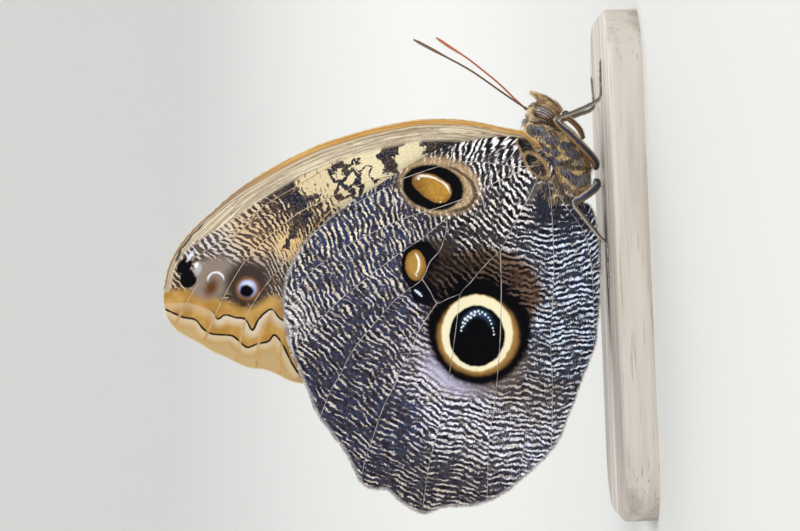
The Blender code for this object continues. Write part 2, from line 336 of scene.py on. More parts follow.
hindVeins = {
    "subcosta": [(538, 166), (516, 167), (478, 162), (445, 165), (405, 178), (390, 186), (360, 201),
                 (330, 218), (305, 244)],
    "radius": [(528, 168), (505, 178), (490, 185), (475, 193), (460, 200), (437, 208), (420, 213),
               (400, 220), (380, 229), (360, 239), (345, 247), (330, 257), (310, 273), (286, 303)],
    "media1": [(460, 200), (447, 217), (425, 236), (400, 253), (380, 268), (362, 282), (340, 300),
               (318, 322), (305, 338), (292, 356)],
    "media2": [(447, 217), (446, 232), (440, 250), (430, 262), (422, 279), (408, 290), (395, 300),
               (380, 317), (362, 338), (350, 355), (340, 375), (330, 392), (320, 418)],
    "cellEnd": [(422, 279), (430, 291), (437, 303), (447, 299), (460, 294)],
    "media3": [(437, 303), (422, 325), (413, 345), (403, 365), (392, 390), (383, 408), (372, 440),
               (365, 460), (361, 482)],
    "cubitus1": [(540, 172), (527, 200), (520, 212), (512, 228), (500, 250), (490, 260), (480, 271),
                 (470, 283), (460, 295), (457, 320), (453, 350), (450, 370), (444, 400), (440, 420),
                 (436, 438), (430, 460), (427, 478), (422, 512)],
    "cubitus2": [(500, 250), (501, 280), (501, 300), (500, 340), (497, 380), (493, 415), (489, 440),
                 (487, 501)],
    "anal2": [(544, 176), (548, 187), (551, 215), (553, 260), (552, 300), (550, 340), (552, 380),
              (552, 415), (551, 449)],
    "anal3": [(550, 180), (562, 203), (570, 213), (578, 224), (585, 238), (590, 262), (592, 290),
              (593.5, 330)],
}
foreVeins = {
    "costa": [(528, 138), (500, 130), (470, 126), (440, 126), (400, 130), (360, 140), (320, 154),
              (280, 176), (250, 196), (222, 222), (196, 244)],
    "radial": [(528, 142), (500, 135), (460, 133), (420, 135), (380, 145), (340, 161), (300, 184),
               (262, 207), (232, 232), (204, 252), (186, 262)],
    "radialFork": [(262, 207), (236, 236), (214, 262), (194, 290), (176, 322)],
    "discal": [(528, 146), (480, 160), (430, 172), (380, 178), (335, 195)],
    "media1": [(335, 195), (300, 212), (270, 235), (255, 250), (240, 268), (222, 300), (204, 340)],
    "media2": [(335, 205), (300, 245), (285, 262), (262, 290), (246, 318), (236, 362)],
    "media3": [(345, 230), (305, 270), (285, 295), (262, 330), (256, 366)],
    "cubitus": [(400, 215), (330, 275), (296, 318), (282, 342), (279, 375)],
}


def insideMask(spots, outline):
    x, z = spots[:, 0], spots[:, 1]
    odd = np.zeros(len(spots), bool)
    for (x1, z1), (x2, z2) in zip(outline, np.roll(outline, 1, axis=0)):
        if z1 != z2:
            odd ^= ((z1 > z) != (z2 > z)) & (x < (x2 - x1) * (z - z1) / (z2 - z1) + x1)
    return odd


def wingPlan(outline, spacing):
    # Outline points, then a staggered grid inside, joined into triangles
    rim = evenTrack(photoTrack(outline), spacing, closed=True)
    low, high = rim.min(0), rim.max(0)
    rowStep = spacing * math.sqrt(0.75)
    grid = []
    for row in range(int((high[1] - low[1]) / rowStep)):
        xs = np.arange(low[0] + 0.5 * spacing * (row % 2), high[0], spacing)
        grid.append(np.column_stack([xs, np.full(len(xs), low[1] + (row + 0.5) * rowStep)]))
    grid = np.vstack(grid)
    grid = grid[insideMask(grid, rim)]
    away, _ = nearest(rim, grid)
    grid = grid[away > 0.6 * spacing]
    edges = [(k, (k + 1) % len(rim)) for k in range(len(rim))]
    places, _, faces, *_ = delaunay_2d_cdt([Vector(p) for p in np.vstack([rim, grid])], edges, [], 1, 1e-6)
    return np.array([tuple(p) for p in places]), faces, rim


def wingMiddle(plan, out, veinAway):
    # How far out the wing's middle sheet is: flared away from its twin, with a low ridge over each vein
    x, z = plan[:, 0] - home.x, plan[:, 1] - home.z
    along = 0.2 + 0.55 * fade(x, -34, -14) + 0.25 * fade(x, -12, 3)
    above = np.maximum(z - 11.0, 0) / wingForm["rise"]
    flare = wingForm["flare"] * along * np.exp(-above * above)
    return out + flare + wingForm["ridge"] * np.exp(-(veinAway / 0.9) ** 2)


def buildWing(name, form, side):
    plan, faces, rim = wingPlan(form["outline"], wingForm["spacing"])
    tracks = [evenTrack(photoTrack(points), 0.25) for points in form["veins"].values()]
    veinAway, _ = nearest(np.vstack(tracks), plan)
    rimAway, _ = nearest(rim, plan)
    middle = wingMiddle(plan, form["out"], veinAway)
    half = wingForm["rim"] + (wingForm["middle"] - wingForm["rim"]) * fade(rimAway, 0, 2.0)
    count = len(plan)
    across = [side * (middle + rise) for rise in (half, -half)]
    outer, inner = [np.column_stack([plan[:, 0], y, plan[:, 1]]) for y in across]
    edges = dict.fromkeys((a, b) for face in faces for a, b in zip(face, face[1:] + face[:1]))
    border = [(a, b) for a, b in edges if (b, a) not in edges]
    faceList = [tuple(face) for face in faces]
    faceList += [tuple(k + count for k in reversed(face)) for face in faces]
    faceList += [(b, a, a + count, b + count) for a, b in border]
    sheet = bpy.data.meshes.new("sheet")
    sheet.from_pydata(np.vstack([outer, inner]) * mm, [], faceList)
    if side > 0:
        sheet.flip_normals()
    work = bmesh.new()
    work.from_mesh(sheet)
    mesh = meshFrom(name, work, 1.0)
    for key, values in form["fields"](plan, veinAway, rimAway).items():
        store(mesh, key, np.concatenate([values, values]))
    middles = plan[np.array([face[:3] for face in faces])].mean(axis=1)
    cells = cellNumber(middles, tracks, form["root"])
    _, turns = polar(middles, form["root"])
    cellTurn = np.zeros(len(cells))
    for number in np.unique(cells):
        cellTurn[cells == number] = turns[cells == number].mean()
    for key, values in (("cell", cells), ("cellTurn", cellTurn)):
        store(mesh, key, np.r_[values, values, np.zeros(len(border))], "FACE")
    store(mesh, "upperSide", np.r_[np.zeros(count), np.ones(count)])
    print(name, "points", count, "triangles", len(faceList))
    return link(name, mesh)


# Soft round patches of the wings' undersides: a base value, then rows of (x, y, reach, value) in pixels
hindRoot = (546, 163)
paleMargin = dict(behind=(300, 250), above=(560, 430))
hindTints = dict(
    lightTint=((0.54, 0.48, 0.42), [
        (505, 160, 55, 0.94, 0.92, 0.92), (505, 225, 40, 0.66, 0.63, 0.62),
        (565, 250, 45, 0.64, 0.73, 0.90), (578, 330, 55, 0.64, 0.74, 0.92),
        (470, 425, 40, 0.74, 0.75, 0.88), (432, 362, 30, 0.66, 0.62, 0.78),
        (540, 445, 40, 0.71, 0.75, 0.88), (296, 320, 28, 0.60, 0.58, 0.58),
        (460, 485, 40, 0.48, 0.41, 0.34), (330, 400, 40, 0.52, 0.46, 0.42),
        (400, 330, 40, 0.60, 0.53, 0.50), (350, 240, 45, 0.70, 0.62, 0.50), (530, 400, 28, 0.40, 0.32, 0.24),
    ]),
    darkTint=((0.024, 0.020, 0.026), [
        (350, 240, 45, 0.020, 0.024, 0.058), (395, 300, 30, 0.016, 0.016, 0.030),
        (400, 430, 40, 0.018, 0.018, 0.032), (572, 270, 50, 0.010, 0.018, 0.044),
        (578, 340, 50, 0.010, 0.018, 0.040), (440, 485, 50, 0.026, 0.026, 0.040),
        (545, 440, 40, 0.032, 0.036, 0.060), (510, 170, 50, 0.003, 0.003, 0.004),
        (530, 395, 28, 0.045, 0.032, 0.024), (490, 210, 30, 0.020, 0.013, 0.009),
        (330, 420, 45, 0.020, 0.020, 0.040),
    ]),
    share=(0.34, [
        (510, 155, 45, 0.46), (470, 432, 36, 0.53), (432, 366, 26, 0.66), (540, 450, 40, 0.50),
        (575, 300, 60, 0.46), (290, 315, 20, 0.60), (460, 485, 36, 0.34), (350, 240, 50, 0.42),
        (400, 350, 30, 0.40), (340, 420, 50, 0.32), (560, 205, 22, 0.30),
    ]),
    blueness=(0.05, [
        (355, 240, 45, 0.95), (385, 290, 40, 0.8), (350, 330, 32, 0.45), (405, 425, 30, 0.8),
        (500, 190, 70, 0.0), (450, 490, 60, 0.0), (330, 420, 40, 0.35),
    ]),
)
foreRoots = dict(near=(520, 140), tip=(345, 95), fade=((315, 200), (250, 200)), ahead=24.0)
foreTints = dict(
    lightTint=((0.66, 0.52, 0.33), [
        (390, 155, 60, 0.88, 0.78, 0.52), (310, 190, 30, 0.80, 0.64, 0.39),
        (240, 215, 30, 0.74, 0.61, 0.45), (252, 235, 20, 0.78, 0.48, 0.20),
        (215, 250, 25, 0.66, 0.66, 0.70), (290, 244, 12, 0.82, 0.55, 0.24),
        (325, 215, 25, 0.62, 0.50, 0.34), (265, 275, 20, 0.48, 0.44, 0.44),
    ]),
    darkTint=((0.050, 0.032, 0.024), [
        (290, 200, 25, 0.020, 0.020, 0.04), (225, 240, 30, 0.085, 0.068, 0.072),
        (250, 262, 18, 0.06, 0.045, 0.05), (330, 220, 30, 0.035, 0.02, 0.014),
    ]),
    share=(0.40, [
        (400, 150, 55, 1.45), (325, 178, 20, 0.80), (240, 225, 30, 0.52), (222, 226, 16, 0.80),
        (290, 244, 11, 0.85), (322, 222, 25, 0.40), (215, 250, 20, 0.42), (270, 205, 20, 0.34),
    ]),
)


def blend(spots, base, rows):
    # A soft mix of a base value and round patches of other values
    total = np.ones(len(spots)) * 0.3
    colour = np.outer(total, base)
    for px, py, reach, *tint in rows:
        away = np.linalg.norm(spots - fromPhoto(px, py), axis=1) / (reach * view["pixel"])
        weight = np.exp(-away ** 2) * 2.5
        colour += np.outer(weight, tint)
        total += weight
    mixed = colour / total[:, None]
    return mixed[:, 0] if mixed.shape[1] == 1 else mixed


def polar(spots, root):
    arm = spots - np.array(fromPhoto(*root))
    return np.linalg.norm(arm, axis=1), np.arctan2(arm[:, 0], arm[:, 1])


def cellNumber(spots, tracks, root):
    # How many veins a place has on its head side, at its own distance from the root
    reach, angle = polar(spots, root)
    number = np.zeros(len(spots))
    for track in tracks:
        trackReach, trackAngle = polar(track, root)
        order = np.argsort(trackReach)
        veinAngle = np.interp(reach, trackReach[order], trackAngle[order])
        number += (angle > veinAngle) & (reach > trackReach.min())
    return number


def hindFields(plan, veinAway, rimAway):
    reach, angle = polar(plan, hindRoot)
    along = np.interp(reach, [0, 11, 60, 80], [0, 9.0, 58, 82]) + 0.16 * veinAway
    outer = plan[:, 0] < fromPhoto(*paleMargin["behind"])[0]
    outer &= plan[:, 1] > fromPhoto(*paleMargin["above"])[1]
    fields = {name: blend(plan, *rows) for name, rows in hindTints.items()}
    return {**fields, "flow": np.column_stack([along, angle, reach]), "margin": np.where(outer, rimAway, 9.0)}


cellShift = 23.7  # mm from one cell's part of the pattern to the next one's


def cellFlow(wire):
    # Along the veins, and across them within each cell, in mm
    along, angle, reach = [part(attribute(wire, "flow", "Vector"), k) for k in range(3)]
    across = (angle - attribute(wire, "cellTurn")) * reach + attribute(wire, "cell") * cellShift
    return wire.node("ShaderNodeCombineXYZ", {}, {"X": along, "Y": across, "Z": 0.0})


def ripples(flow, share, scale=0.42, waves=2.1):
    # Height of broken wavy lines across the veins: above zero on a light line
    bent = flow
    for fineness, size in ((0.30, 1.5), (1.1, 0.95), (3.0, 0.25)):
        bent = jitter(bent, fineness, size)
    sockets = {"Vector": bent, "Scale": scale, "Frequency": waves, "Anisotropy": 0.93, "Orientation": 0.0}
    gabor = flow.node("ShaderNodeTexGabor", {"gabor_type": "2D"}, sockets, out="Value")
    uneven = noise(flow, 1.3, 3.0, 0.6) * 0.34 - 0.17
    return gabor - (0.80 - share * 0.62 + uneven)


def barbs(flow):
    # Fine grain along the veins, as rows of scales make it
    return noise(stretched(flow, (1.6, 6.5, 1.0)), 1.0, 3.0, 0.7)


def stripeColours(height, grain, dark, light, mid=(0.074, 0.068, 0.086)):
    height = height + (grain - 0.5) * 0.42
    colour = lay(dark, mid, height, -0.24, -0.02, 0.45)
    colour = lay(colour, light, height, -0.02, 0.09)
    return times(colour, ramp(grain, 0.25, 0.75, 0.70, 1.22))


def shine(colour, place, glints, tint):
    for px, py, radius in glints:
        colour = lay(colour, tint, oval(place, (px, py), (radius, radius)), 1.7, 0.4)
    return colour


# Spots are (middle, half widths, tilt), glints (x, y, radius), fades (axis, start, end). Patches are rows of
# x, y, half widths, tilt, softness and tone. Places and sizes are the photo's pixels, tilts are degrees
eyespot = dict(
    pupil=((476.9, 336), (27.7, 30.5)), cream=((477.1, 333), (36.1, 38.8)), ochre=((478, 336), (43.5, 42)),
    black=((479, 327), (53, 59)), brow=((482, 293), (62, 47)), halo=((475, 331), (61, 68)),
    haze=((477.5, 329), (17, 18.5)), hazeFade=(0, (477, 332), (477, 312)),
    crown=(0, (478, 318), (478, 296)), below=(0, (478, 330), (478, 372)),
    leftward=(1, (500, 340), (440, 340)),
    glints=[(461, 331, 0.8), (461.3, 327.5, 0.9), (463, 326, 0.9), (462.8, 322.5, 1.1), (465, 323.5, 0.9),
            (465.2, 319, 1.4), (467.5, 320.5, 0.9), (468, 316.5, 1.3), (470.5, 317.5, 1.1),
            (471.2, 313.8, 1.2), (474, 315.2, 1.1), (474.8, 312, 1.2), (478, 311.2, 1.0), (479.5, 314, 0.8),
            (482, 312.2, 0.9), (485.2, 314.4, 1.0), (487.8, 317.4, 0.8), (490, 320.4, 0.9),
            (491.6, 324, 0.8), (492.8, 328, 0.9), (493.4, 331, 0.7), (493.8, 334.5, 0.8)],
)
costalSpot = dict(
    lobes=[((423, 182.5), (12.5, 10), 15), ((431, 186.5), (17, 13), 28), ((438.5, 191), (14.5, 13), 25)],
    black=((433, 187.5), (31, 22.5), 12), halo=((440, 186), (42, 29.5), 10), arc=((437, 187.5), (42, 25), 14),
    gleam=((431.5, 191.8), (20.5, 13.4), 27), glints=[(418.3, 178.8, 1.1), (440.5, 202, 0.7)],
    arcFade=(1, (440, 186), (456, 186)), ochreFade=(1, (413, 186), (436, 186)),
    gleamFade=(1, (413, 186), (424, 186)),
)
cellSpot = dict(
    ochre=((415.5, 265), (10.5, 15.5), -3), black=((420.5, 266), (19.5, 25), 0),
    brown=((438, 254), (17, 17), 0), gleam=[((415.6, 264), (4.6, 10.8), 0), ((412.6, 264.6), (5.2, 11.6), 0)],
    glints=[(417, 275.5, 0.7)],
)
smallSpot = dict(
    black=((424, 293), (14, 12), 20),
    glints=[(415.8, 290.5, 0.9), (417.6, 292, 1.3), (419.6, 293.8, 1.3), (421.5, 296, 0.9)],
)
basePatches = [
    (543, 204, 8.5, 23, 2, 0.25, (0.020, 0.023, 0.042)), (531, 195, 5, 13, 25, 0.9, (0.11, 0.10, 0.10)),
    (560, 189, 13, 8, 30, 0.5, (0.075, 0.058, 0.048)), (527, 150, 17, 8.5, 56, 0.25, (0.30, 0.19, 0.09)),
    (526, 149, 14, 5.5, 57, 0.15, (0.010, 0.009, 0.013)), (536, 166, 18, 9.5, 48, 0.2, (0.38, 0.25, 0.12)),
    (535, 166, 14.5, 6.5, 48, 0.15, (0.012, 0.010, 0.016)),
]


def finishWing(wire, colour, above, height, grain, deepest):
    # The plain upper side goes on the inner face, where it doesn't show
    above = times(above, ramp(grain, 0.25, 0.75, deepest, 1.25))
    colour = lay(colour, above, attribute(wire, "upperSide"), 0.4, 0.6)
    finishMaterial(wire, colour, 0.8, 0.03, bump(height + grain, 0.25, 0.00008))


def hindMaterial():
    material, wire = startMaterial("hindwing scales")
    place = placeOn(wire)
    rough = jitter(place, 900.0, 0.0005)
    flow = cellFlow(wire)
    height, grain = ripples(flow, attribute(wire, "share"), 0.44, 2.2), barbs(flow)
    speck = grain - 0.5
    nearBlack = (0.003, 0.003, 0.004)

    def spot(shape):
        return oval(rough, *shape)

    blueHere = ramp(noise(flow, 0.5, 3.0), 0.46, 0.56) * attribute(wire, "blueness")
    dark = times(attribute(wire, "darkTint", "Color"), ramp(noise(flow, 0.75, 3.0), 0.40, 0.62, 0.50, 1.7))
    dark = mix(blueHere, dark, (0.030, 0.050, 0.140))
    light = times(attribute(wire, "lightTint", "Color"), (1.22, 1.22, 1.22))
    light = lay(light, (0.66, 0.64, 0.68), noise(flow, 0.8), 0.5, 0.7, 0.5)
    light = lay(light, (0.48, 0.34, 0.17), noise(flow, 0.45), 0.52, 0.62, 0.40)
    light = times(light, ramp(noise(flow, 1.7), 0.36, 0.60, 0.62, 1.18))
    colour = stripeColours(height, grain, dark, light)
    edge = attribute(wire, "margin")
    colour = lay(colour, (0.42, 0.39, 0.41), edge, 0.6, 0.1, 0.6)

    for field, low, high, tone in patches(rough, basePatches):
        colour = lay(colour, lay(tone, (0.42, 0.36, 0.28), grain, 0.58, 0.68, 0.6), field, low, high)

    # Costal spot
    tan = lay((0.34, 0.21, 0.105), (0.68, 0.49, 0.27), grain, 0.35, 0.65)
    colour = lay(colour, tan, spot(costalSpot["halo"]) + speck * 0.5, 1.10, 0.85, 0.85)
    ink = ramp(abs(spot(costalSpot["arc"]) - 0.93), 0.08, 0.03) * photoRamp(place, *costalSpot["arcFade"])
    colour = mix(ink * 0.85, colour, (0.05, 0.035, 0.03))
    colour = lay(colour, (0.004, 0.004, 0.005), spot(costalSpot["black"]), 1.08, 0.94)
    bean, two, three = [spot(lobe) for lobe in costalSpot["lobes"]]
    for lobe in (two, three):
        bean = wire.math("SMOOTH_MIN", bean, lobe, 0.3)
    bean = bean + 0.08
    ochre = mix(photoRamp(place, *costalSpot["ochreFade"]), (0.25, 0.11, 0.025), (0.48, 0.26, 0.045))
    ochre = lay(ochre, (0.20, 0.10, 0.035), bean, 0.62, 1.02, 0.75)
    colour = lay(colour, ochre, bean, 1.06, 0.93)
    colour = lay(colour, times(colour, ramp(noise(place, 2600.0), 0.35, 0.65, 0.82, 1.15)), bean, 1.0, 0.9)
    gleam = ramp(bean, 0.92, 0.80) * ramp(spot(costalSpot["gleam"]), 0.90, 1.04)
    colour = mix(gleam * photoRamp(place, *costalSpot["gleamFade"]), colour, (0.95, 0.91, 0.80))
    colour = shine(colour, rough, costalSpot["glints"], (0.95, 0.90, 0.78))

    # Spot at the cell's end
    colour = lay(colour, (0.040, 0.026, 0.018), spot(cellSpot["brown"]), 1.15, 0.75, 0.9)
    colour = lay(colour, (0.004, 0.004, 0.006), spot(cellSpot["black"]), 1.1, 0.95)
    middle = spot(cellSpot["ochre"])
    ochre = lay((0.44, 0.26, 0.065), (0.30, 0.145, 0.03), middle, 0.45, 1.0)
    colour = lay(colour, ochre, middle, 1.04, 0.93)
    inner, outer = [spot(one) for one in cellSpot["gleam"]]
    colour = mix(ramp(inner, 1.12, 0.8) * ramp(outer, 0.88, 1.12), colour, (0.93, 0.88, 0.74))
    colour = shine(colour, rough, cellSpot["glints"], (0.95, 0.90, 0.78))

    # Large eyespot, from its halo inwards
    below, leftward, crown = [photoRamp(place, *eyespot[key]) for key in ("below", "leftward", "crown")]
    pale = mix(leftward, (0.12, 0.09, 0.075), (0.47, 0.44, 0.60))
    pale = mix(below, (0.075, 0.050, 0.038), pale)
    colour = lay(colour, pale, spot(eyespot["halo"]) + speck * 0.35, 1.10, 0.86, below * 0.85)
    browLine = ramp(height + speck * 0.4, -0.16, 0.10)
    brow = spot(eyespot["brow"]) + speck * 0.35
    warm = mix(leftward, (0.17, 0.092, 0.050), (0.045, 0.032, 0.026))
    warm = lay(warm, (0.050, 0.028, 0.018), brow, 0.95, 0.55, 0.6)
    colour = lay(colour, mix(browLine, (0.010, 0.007, 0.006), warm), brow, 1.12, 0.84, 0.95)
    velvet = spot(eyespot["black"]) + speck * 0.12 + (browLine - 0.3) * crown * 0.25
    colour = lay(colour, nearBlack, velvet, 1.05, 0.93)
    ring, cream = spot(eyespot["ochre"]), spot(eyespot["cream"])
    amber = lay((0.030, 0.014, 0.007), (0.36, 0.20, 0.06), ring, 1.0, 0.84)
    colour = lay(colour, amber, ring, 1.03, 0.93)
    buff = lay((0.60, 0.42, 0.18), (0.90, 0.82, 0.57), cream, 1.01, 0.95)
    colour = lay(colour, buff, cream, 1.03, 0.97)
    colour = lay(colour, nearBlack, spot(eyespot["pupil"]), 1.04, 0.97)
    haze = ramp(abs(spot(eyespot["haze"]) - 0.85), 0.34, 0.0) * photoRamp(place, *eyespot["hazeFade"])
    colour = mix(haze * 0.5, colour, (0.07, 0.15, 0.30))
    colour = shine(colour, rough, eyespot["glints"], (0.80, 0.90, 1.0))

    colour = lay(colour, (0.004, 0.004, 0.008), spot(smallSpot["black"]), 1.1, 0.9)
    colour = shine(colour, rough, smallSpot["glints"], (0.80, 0.86, 1.0))

    reach = part(attribute(wire, "flow", "Vector"), 2)
    above = lay((0.105, 0.095, 0.115), (0.016, 0.014, 0.020), reach, 14.0, 34.0)
    above = lay(above, (0.14, 0.10, 0.08), edge, 1.6, 0.3, 0.6)
    finishWing(wire, colour, above, height * 0.6, grain, 0.70)
    return material


# Forewing underside. A bar's sixth number makes it a loop, thinner as it grows
foreBars = [
    (444, 142.5, 20, 6.5, -7), (436, 149, 12, 4, -12), (391, 150, 8.5, 6.5, -40), (388, 160, 10, 6, -80),
    (397, 144, 6, 3.5, -10), (393, 168, 4.5, 3.5, 40), (382, 156, 5, 4, -30), (350, 166, 11, 2.0, -30),
    (338, 172, 7.5, 8.5, 0, 4.0), (349, 180, 6, 9, 20, 4.0), (344, 191, 8, 7, -20, 4.5),
    (360, 184, 2.2, 12, -6), (355, 190, 5, 8, 10, 4.0), (363, 168, 6.5, 1.1, -5),
    (370.5, 174, 6.5, 1.1, 78), (376, 180, 4.5, 1.1, -15), (286, 184, 11, 6, -35), (287, 194, 11, 7.5, 30),
    (298, 201, 12, 7, 55), (304, 210, 8, 4, 60), (293, 207, 5, 4, 0), (302, 220, 12, 4, -35),
    (296, 229, 10, 5, 125), (288, 241, 9, 3, 110), (322, 209, 8, 2.2, 60), (313, 196, 7, 2.0, -30),
]
tipSpots = [
    (213, 278, 28, 21, -30, 0.35, (0.27, 0.215, 0.18)), (247, 284, 25, 25, 0, 0.35, (0.055, 0.036, 0.032)),
    (211, 287.5, 7.5, 11, 30, 0.8, (0.12, 0.048, 0.016)),
    (184, 266, 6.5, 9.5, 40, 0.12, (0.004, 0.004, 0.005)),
    (187.5, 279, 8.5, 9.2, 15, 0.12, (0.004, 0.004, 0.005)),
    (190, 256, 2.2, 6.5, 35, 0.6, (0.72, 0.75, 0.84)), (197.5, 269, 4.2, 7.5, 15, 0.6, (0.46, 0.44, 0.44)),
    (196, 265, 2.2, 3.4, 15, 0.6, (0.90, 0.90, 0.92)), (243, 303, 4, 4, 0, 0.5, (0.06, 0.03, 0.014)),
    (247.3, 288.6, 12.8, 12.6, 0, 0.2, (0.21, 0.092, 0.030)),
    (247.3, 288.4, 9.6, 9.4, 0, 0.3, (0.34, 0.40, 0.70)),
    (247.5, 285, 6.5, 4.6, 0, 0.7, (0.66, 0.72, 0.88)),
    (246.3, 291.3, 7.3, 6.9, 0, 0.3, (0.003, 0.003, 0.004)),
]
tipCrescent = dict(shape=((215.5, 280.5), (8.2, 8.8), 20), fade=(0, (215, 283), (215, 276)))
edgeStreaks = [
    (185.5, 243, 13, 1.3, -52), (198, 229, 8, 1.0, -45), (178, 256, 7, 1.8, -62),
]
marginLines = {
    "lineIn": [(166, 303), (180, 303), (190, 303), (205, 308), (213, 312), (217, 319), (225, 315),
               (235, 317.5), (245, 319.5), (252, 330), (258, 320), (265, 312.5), (272, 309.5), (279, 318),
               (286, 322)],
    "lineOut": [(166, 310), (182, 317), (195, 320), (203, 329), (212, 334), (222, 335), (232, 336),
                (240, 342), (247, 347.5), (257, 344), (268, 341.5), (274, 335), (281, 342), (286, 352),
                (291, 362), (297, 372)],
}
marginOuter = (230, 356)  # a place past both lines
lineInFade = (1, (208, 310), (219, 310))  # where the inner line starts


def signedAway(track, spots, towards):
    # Distance from a line, positive on the side that a given place is on
    away, index = nearest(track, spots)
    index = np.clip(index, 1, len(track) - 2)

    def sideOf(index, spot):
        run, arm = track[index + 1] - track[index - 1], spot - track[index]
        return np.sign(run[..., 0] * arm[..., 1] - run[..., 1] * arm[..., 0])

    return away * sideOf(index, spots) * sideOf(len(track) // 2, np.array(fromPhoto(*towards)))


def foreFields(plan, veinAway, rimAway):
    near, nearAngle = polar(plan, foreRoots["near"])
    tip, _ = polar(plan, foreRoots["tip"])
    # The pattern's rings are round the wing's root at first, and round a second middle nearer the tip
    tipShare = fade(plan[:, 1], *[fromPhoto(*end)[1] for end in foreRoots["fade"]])
    along = (1 - tipShare) * near + tipShare * (tip + foreRoots["ahead"]) + 0.1 * veinAway
    costaGap = 0.3
    costa = evenTrack(photoTrack(foreOutline[1:27]), costaGap)
    costaAway, costaIndex = nearest(costa, plan)
    fields = {name: blend(plan, *rows) for name, rows in foreTints.items()}
    fields.update({
        "flow": np.column_stack([along, nearAngle, near]),
        "streak": np.column_stack([costaAway, costaIndex * costaGap, np.zeros(len(plan))]),
        "rimAway": rimAway,
        "veinAway": veinAway,
    })
    for name, points in marginLines.items():
        fields[name] = signedAway(evenTrack(photoTrack(points), 0.2), plan, marginOuter)
    return fields


def foreMaterial():
    material, wire = startMaterial("forewing scales")
    place = placeOn(wire)
    rough = jitter(place, 900.0, 0.0004)
    ragged = jitter(jitter(place, 600.0, 0.0026), 1600.0, 0.0010)
    flow = cellFlow(wire)
    height, grain = ripples(flow, attribute(wire, "share"), 0.46), barbs(flow)
    dark, light = attribute(wire, "darkTint", "Color"), attribute(wire, "lightTint", "Color")
    colour = stripeColours(height, grain, dark, light, (0.15, 0.095, 0.055))
    bars = 9.0
    for px, py, wide, tall, tilt, *loop in foreBars:
        field = oval(ragged, (px, py), (wide, tall), tilt)
        for thin in loop:
            field = abs(field - 1.0) * thin
        bars = wire.math("MINIMUM", field, bars)
    ink = lay((0.045, 0.033, 0.030), (0.016, 0.018, 0.036), noise(place, 260.0), 0.45, 0.6)
    ink = lay(ink, (0.34, 0.27, 0.20), noise(place, 2600.0, 2.0, 0.7), 0.50, 0.62, 0.35)
    peppered = (noise(place, 1900.0, 3.0, 0.7) - 0.5) * 1.5
    colour = lay(colour, ink, bars + peppered, 1.30, 1.04)

    # Outer margin: ochre, then two dark scalloped lines with cream behind each
    lineIn, lineOut = attribute(wire, "lineIn"), attribute(wire, "lineOut")
    ochre = lay((0.40, 0.21, 0.045), (0.54, 0.32, 0.10), noise(place, 300.0), 0.35, 0.65)
    colour = lay(colour, ochre, lineIn + (grain - 0.5) * 1.5, -3.2, -1.7)
    uneven = noise(place, 700.0) * 0.20
    started = photoRamp(place, *lineInFade)
    for line, behind, inked in ((lineIn, (0.64, 0.54, 0.42), started), (lineOut, (0.60, 0.48, 0.31), 1.0)):
        pale = ramp(line, 0.0, 0.12) * ramp(line, 2.1, 0.3) * (inked * 0.65 + 0.35)
        colour = mix(pale, colour, behind)
        colour = lay(colour, (0.022, 0.014, 0.014), abs(line), uneven + 0.15, uneven + 0.03, inked)
    colour = lay(colour, (0.50, 0.35, 0.17), lineOut, 0.9, 2.4)
    nearVein = ramp(attribute(wire, "veinAway"), 0.55, 0.10) * ramp(lineIn, -0.5, 1.5)
    colour = mix(nearVein * 0.7, colour, (0.52, 0.30, 0.10))
    colour = lay(colour, (0.74, 0.62, 0.42), attribute(wire, "rimAway"), 0.28, 0.10, 0.8)

    for field, low, high, tone in patches(rough, tipSpots):
        colour = lay(colour, tone, field, low, high)
    crescent, upper = oval(rough, *tipCrescent["shape"]), photoRamp(place, *tipCrescent["fade"])
    colour = lay(colour, (0.74, 0.75, 0.78), abs(crescent - 0.95), 0.17, 0.07, upper)

    # Costal band: cream edge, golden band, then streaks along the wing
    streak = attribute(wire, "streak", "Vector")
    away, along = part(streak, 0), part(streak, 1)
    streaks = noise(stretched(streak, (5.5, 0.10, 1.0)), 1.0, 4.0, 0.6)
    beige = lay((0.42, 0.33, 0.235), (0.84, 0.74, 0.56), streaks, 0.40, 0.60)
    beige = lay(beige, (0.06, 0.045, 0.04), abs(streaks - 0.52), 0.022, 0.006, 0.8)
    wide, narrow = ramp(along, 58.0, 78.0, 3.9, 1.2), ramp(along, 52.0, 68.0, 1.0, 0.45)
    gold = lay((0.46, 0.23, 0.06), (0.72, 0.43, 0.15), streaks, 0.40, 0.62)
    gold = lay(gold, (0.33, 0.23, 0.15), along, 46.0, 60.0)
    colour = lay(colour, beige, away, wide + 0.5, wide - 0.3)
    colour = lay(colour, (0.64, 0.53, 0.36), away, narrow * 1.7, narrow * 1.5, 0.8)
    colour = lay(colour, gold, away, narrow * 1.10, narrow * 0.9)
    colour = lay(colour, (0.10, 0.065, 0.045), abs(away - narrow * 1.08), 0.11, 0.03, 0.7)
    colour = lay(colour, (0.12, 0.085, 0.06), abs(away - narrow * 1.68), 0.12, 0.03, 0.6)
    colour = lay(colour, (0.72, 0.62, 0.42), away, 0.26, 0.12)
    for px, py, wide, tall, tilt in edgeStreaks:
        colour = lay(colour, (0.045, 0.032, 0.028), oval(rough, (px, py), (wide, tall), tilt), 1.2, 0.7, 0.85)

    reach = part(attribute(wire, "flow", "Vector"), 2)
    above = lay((0.33, 0.23, 0.135), (0.055, 0.038, 0.030), reach, 20.0, 52.0)
    above = lay(above, (0.20, 0.13, 0.07), lineOut, -0.6, 1.2, 0.7)
    finishWing(wire, colour, above, height * 0.5, grain, 0.72)
    return material


veinForm = dict(radius=0.068, lift=0.02, sides=6)


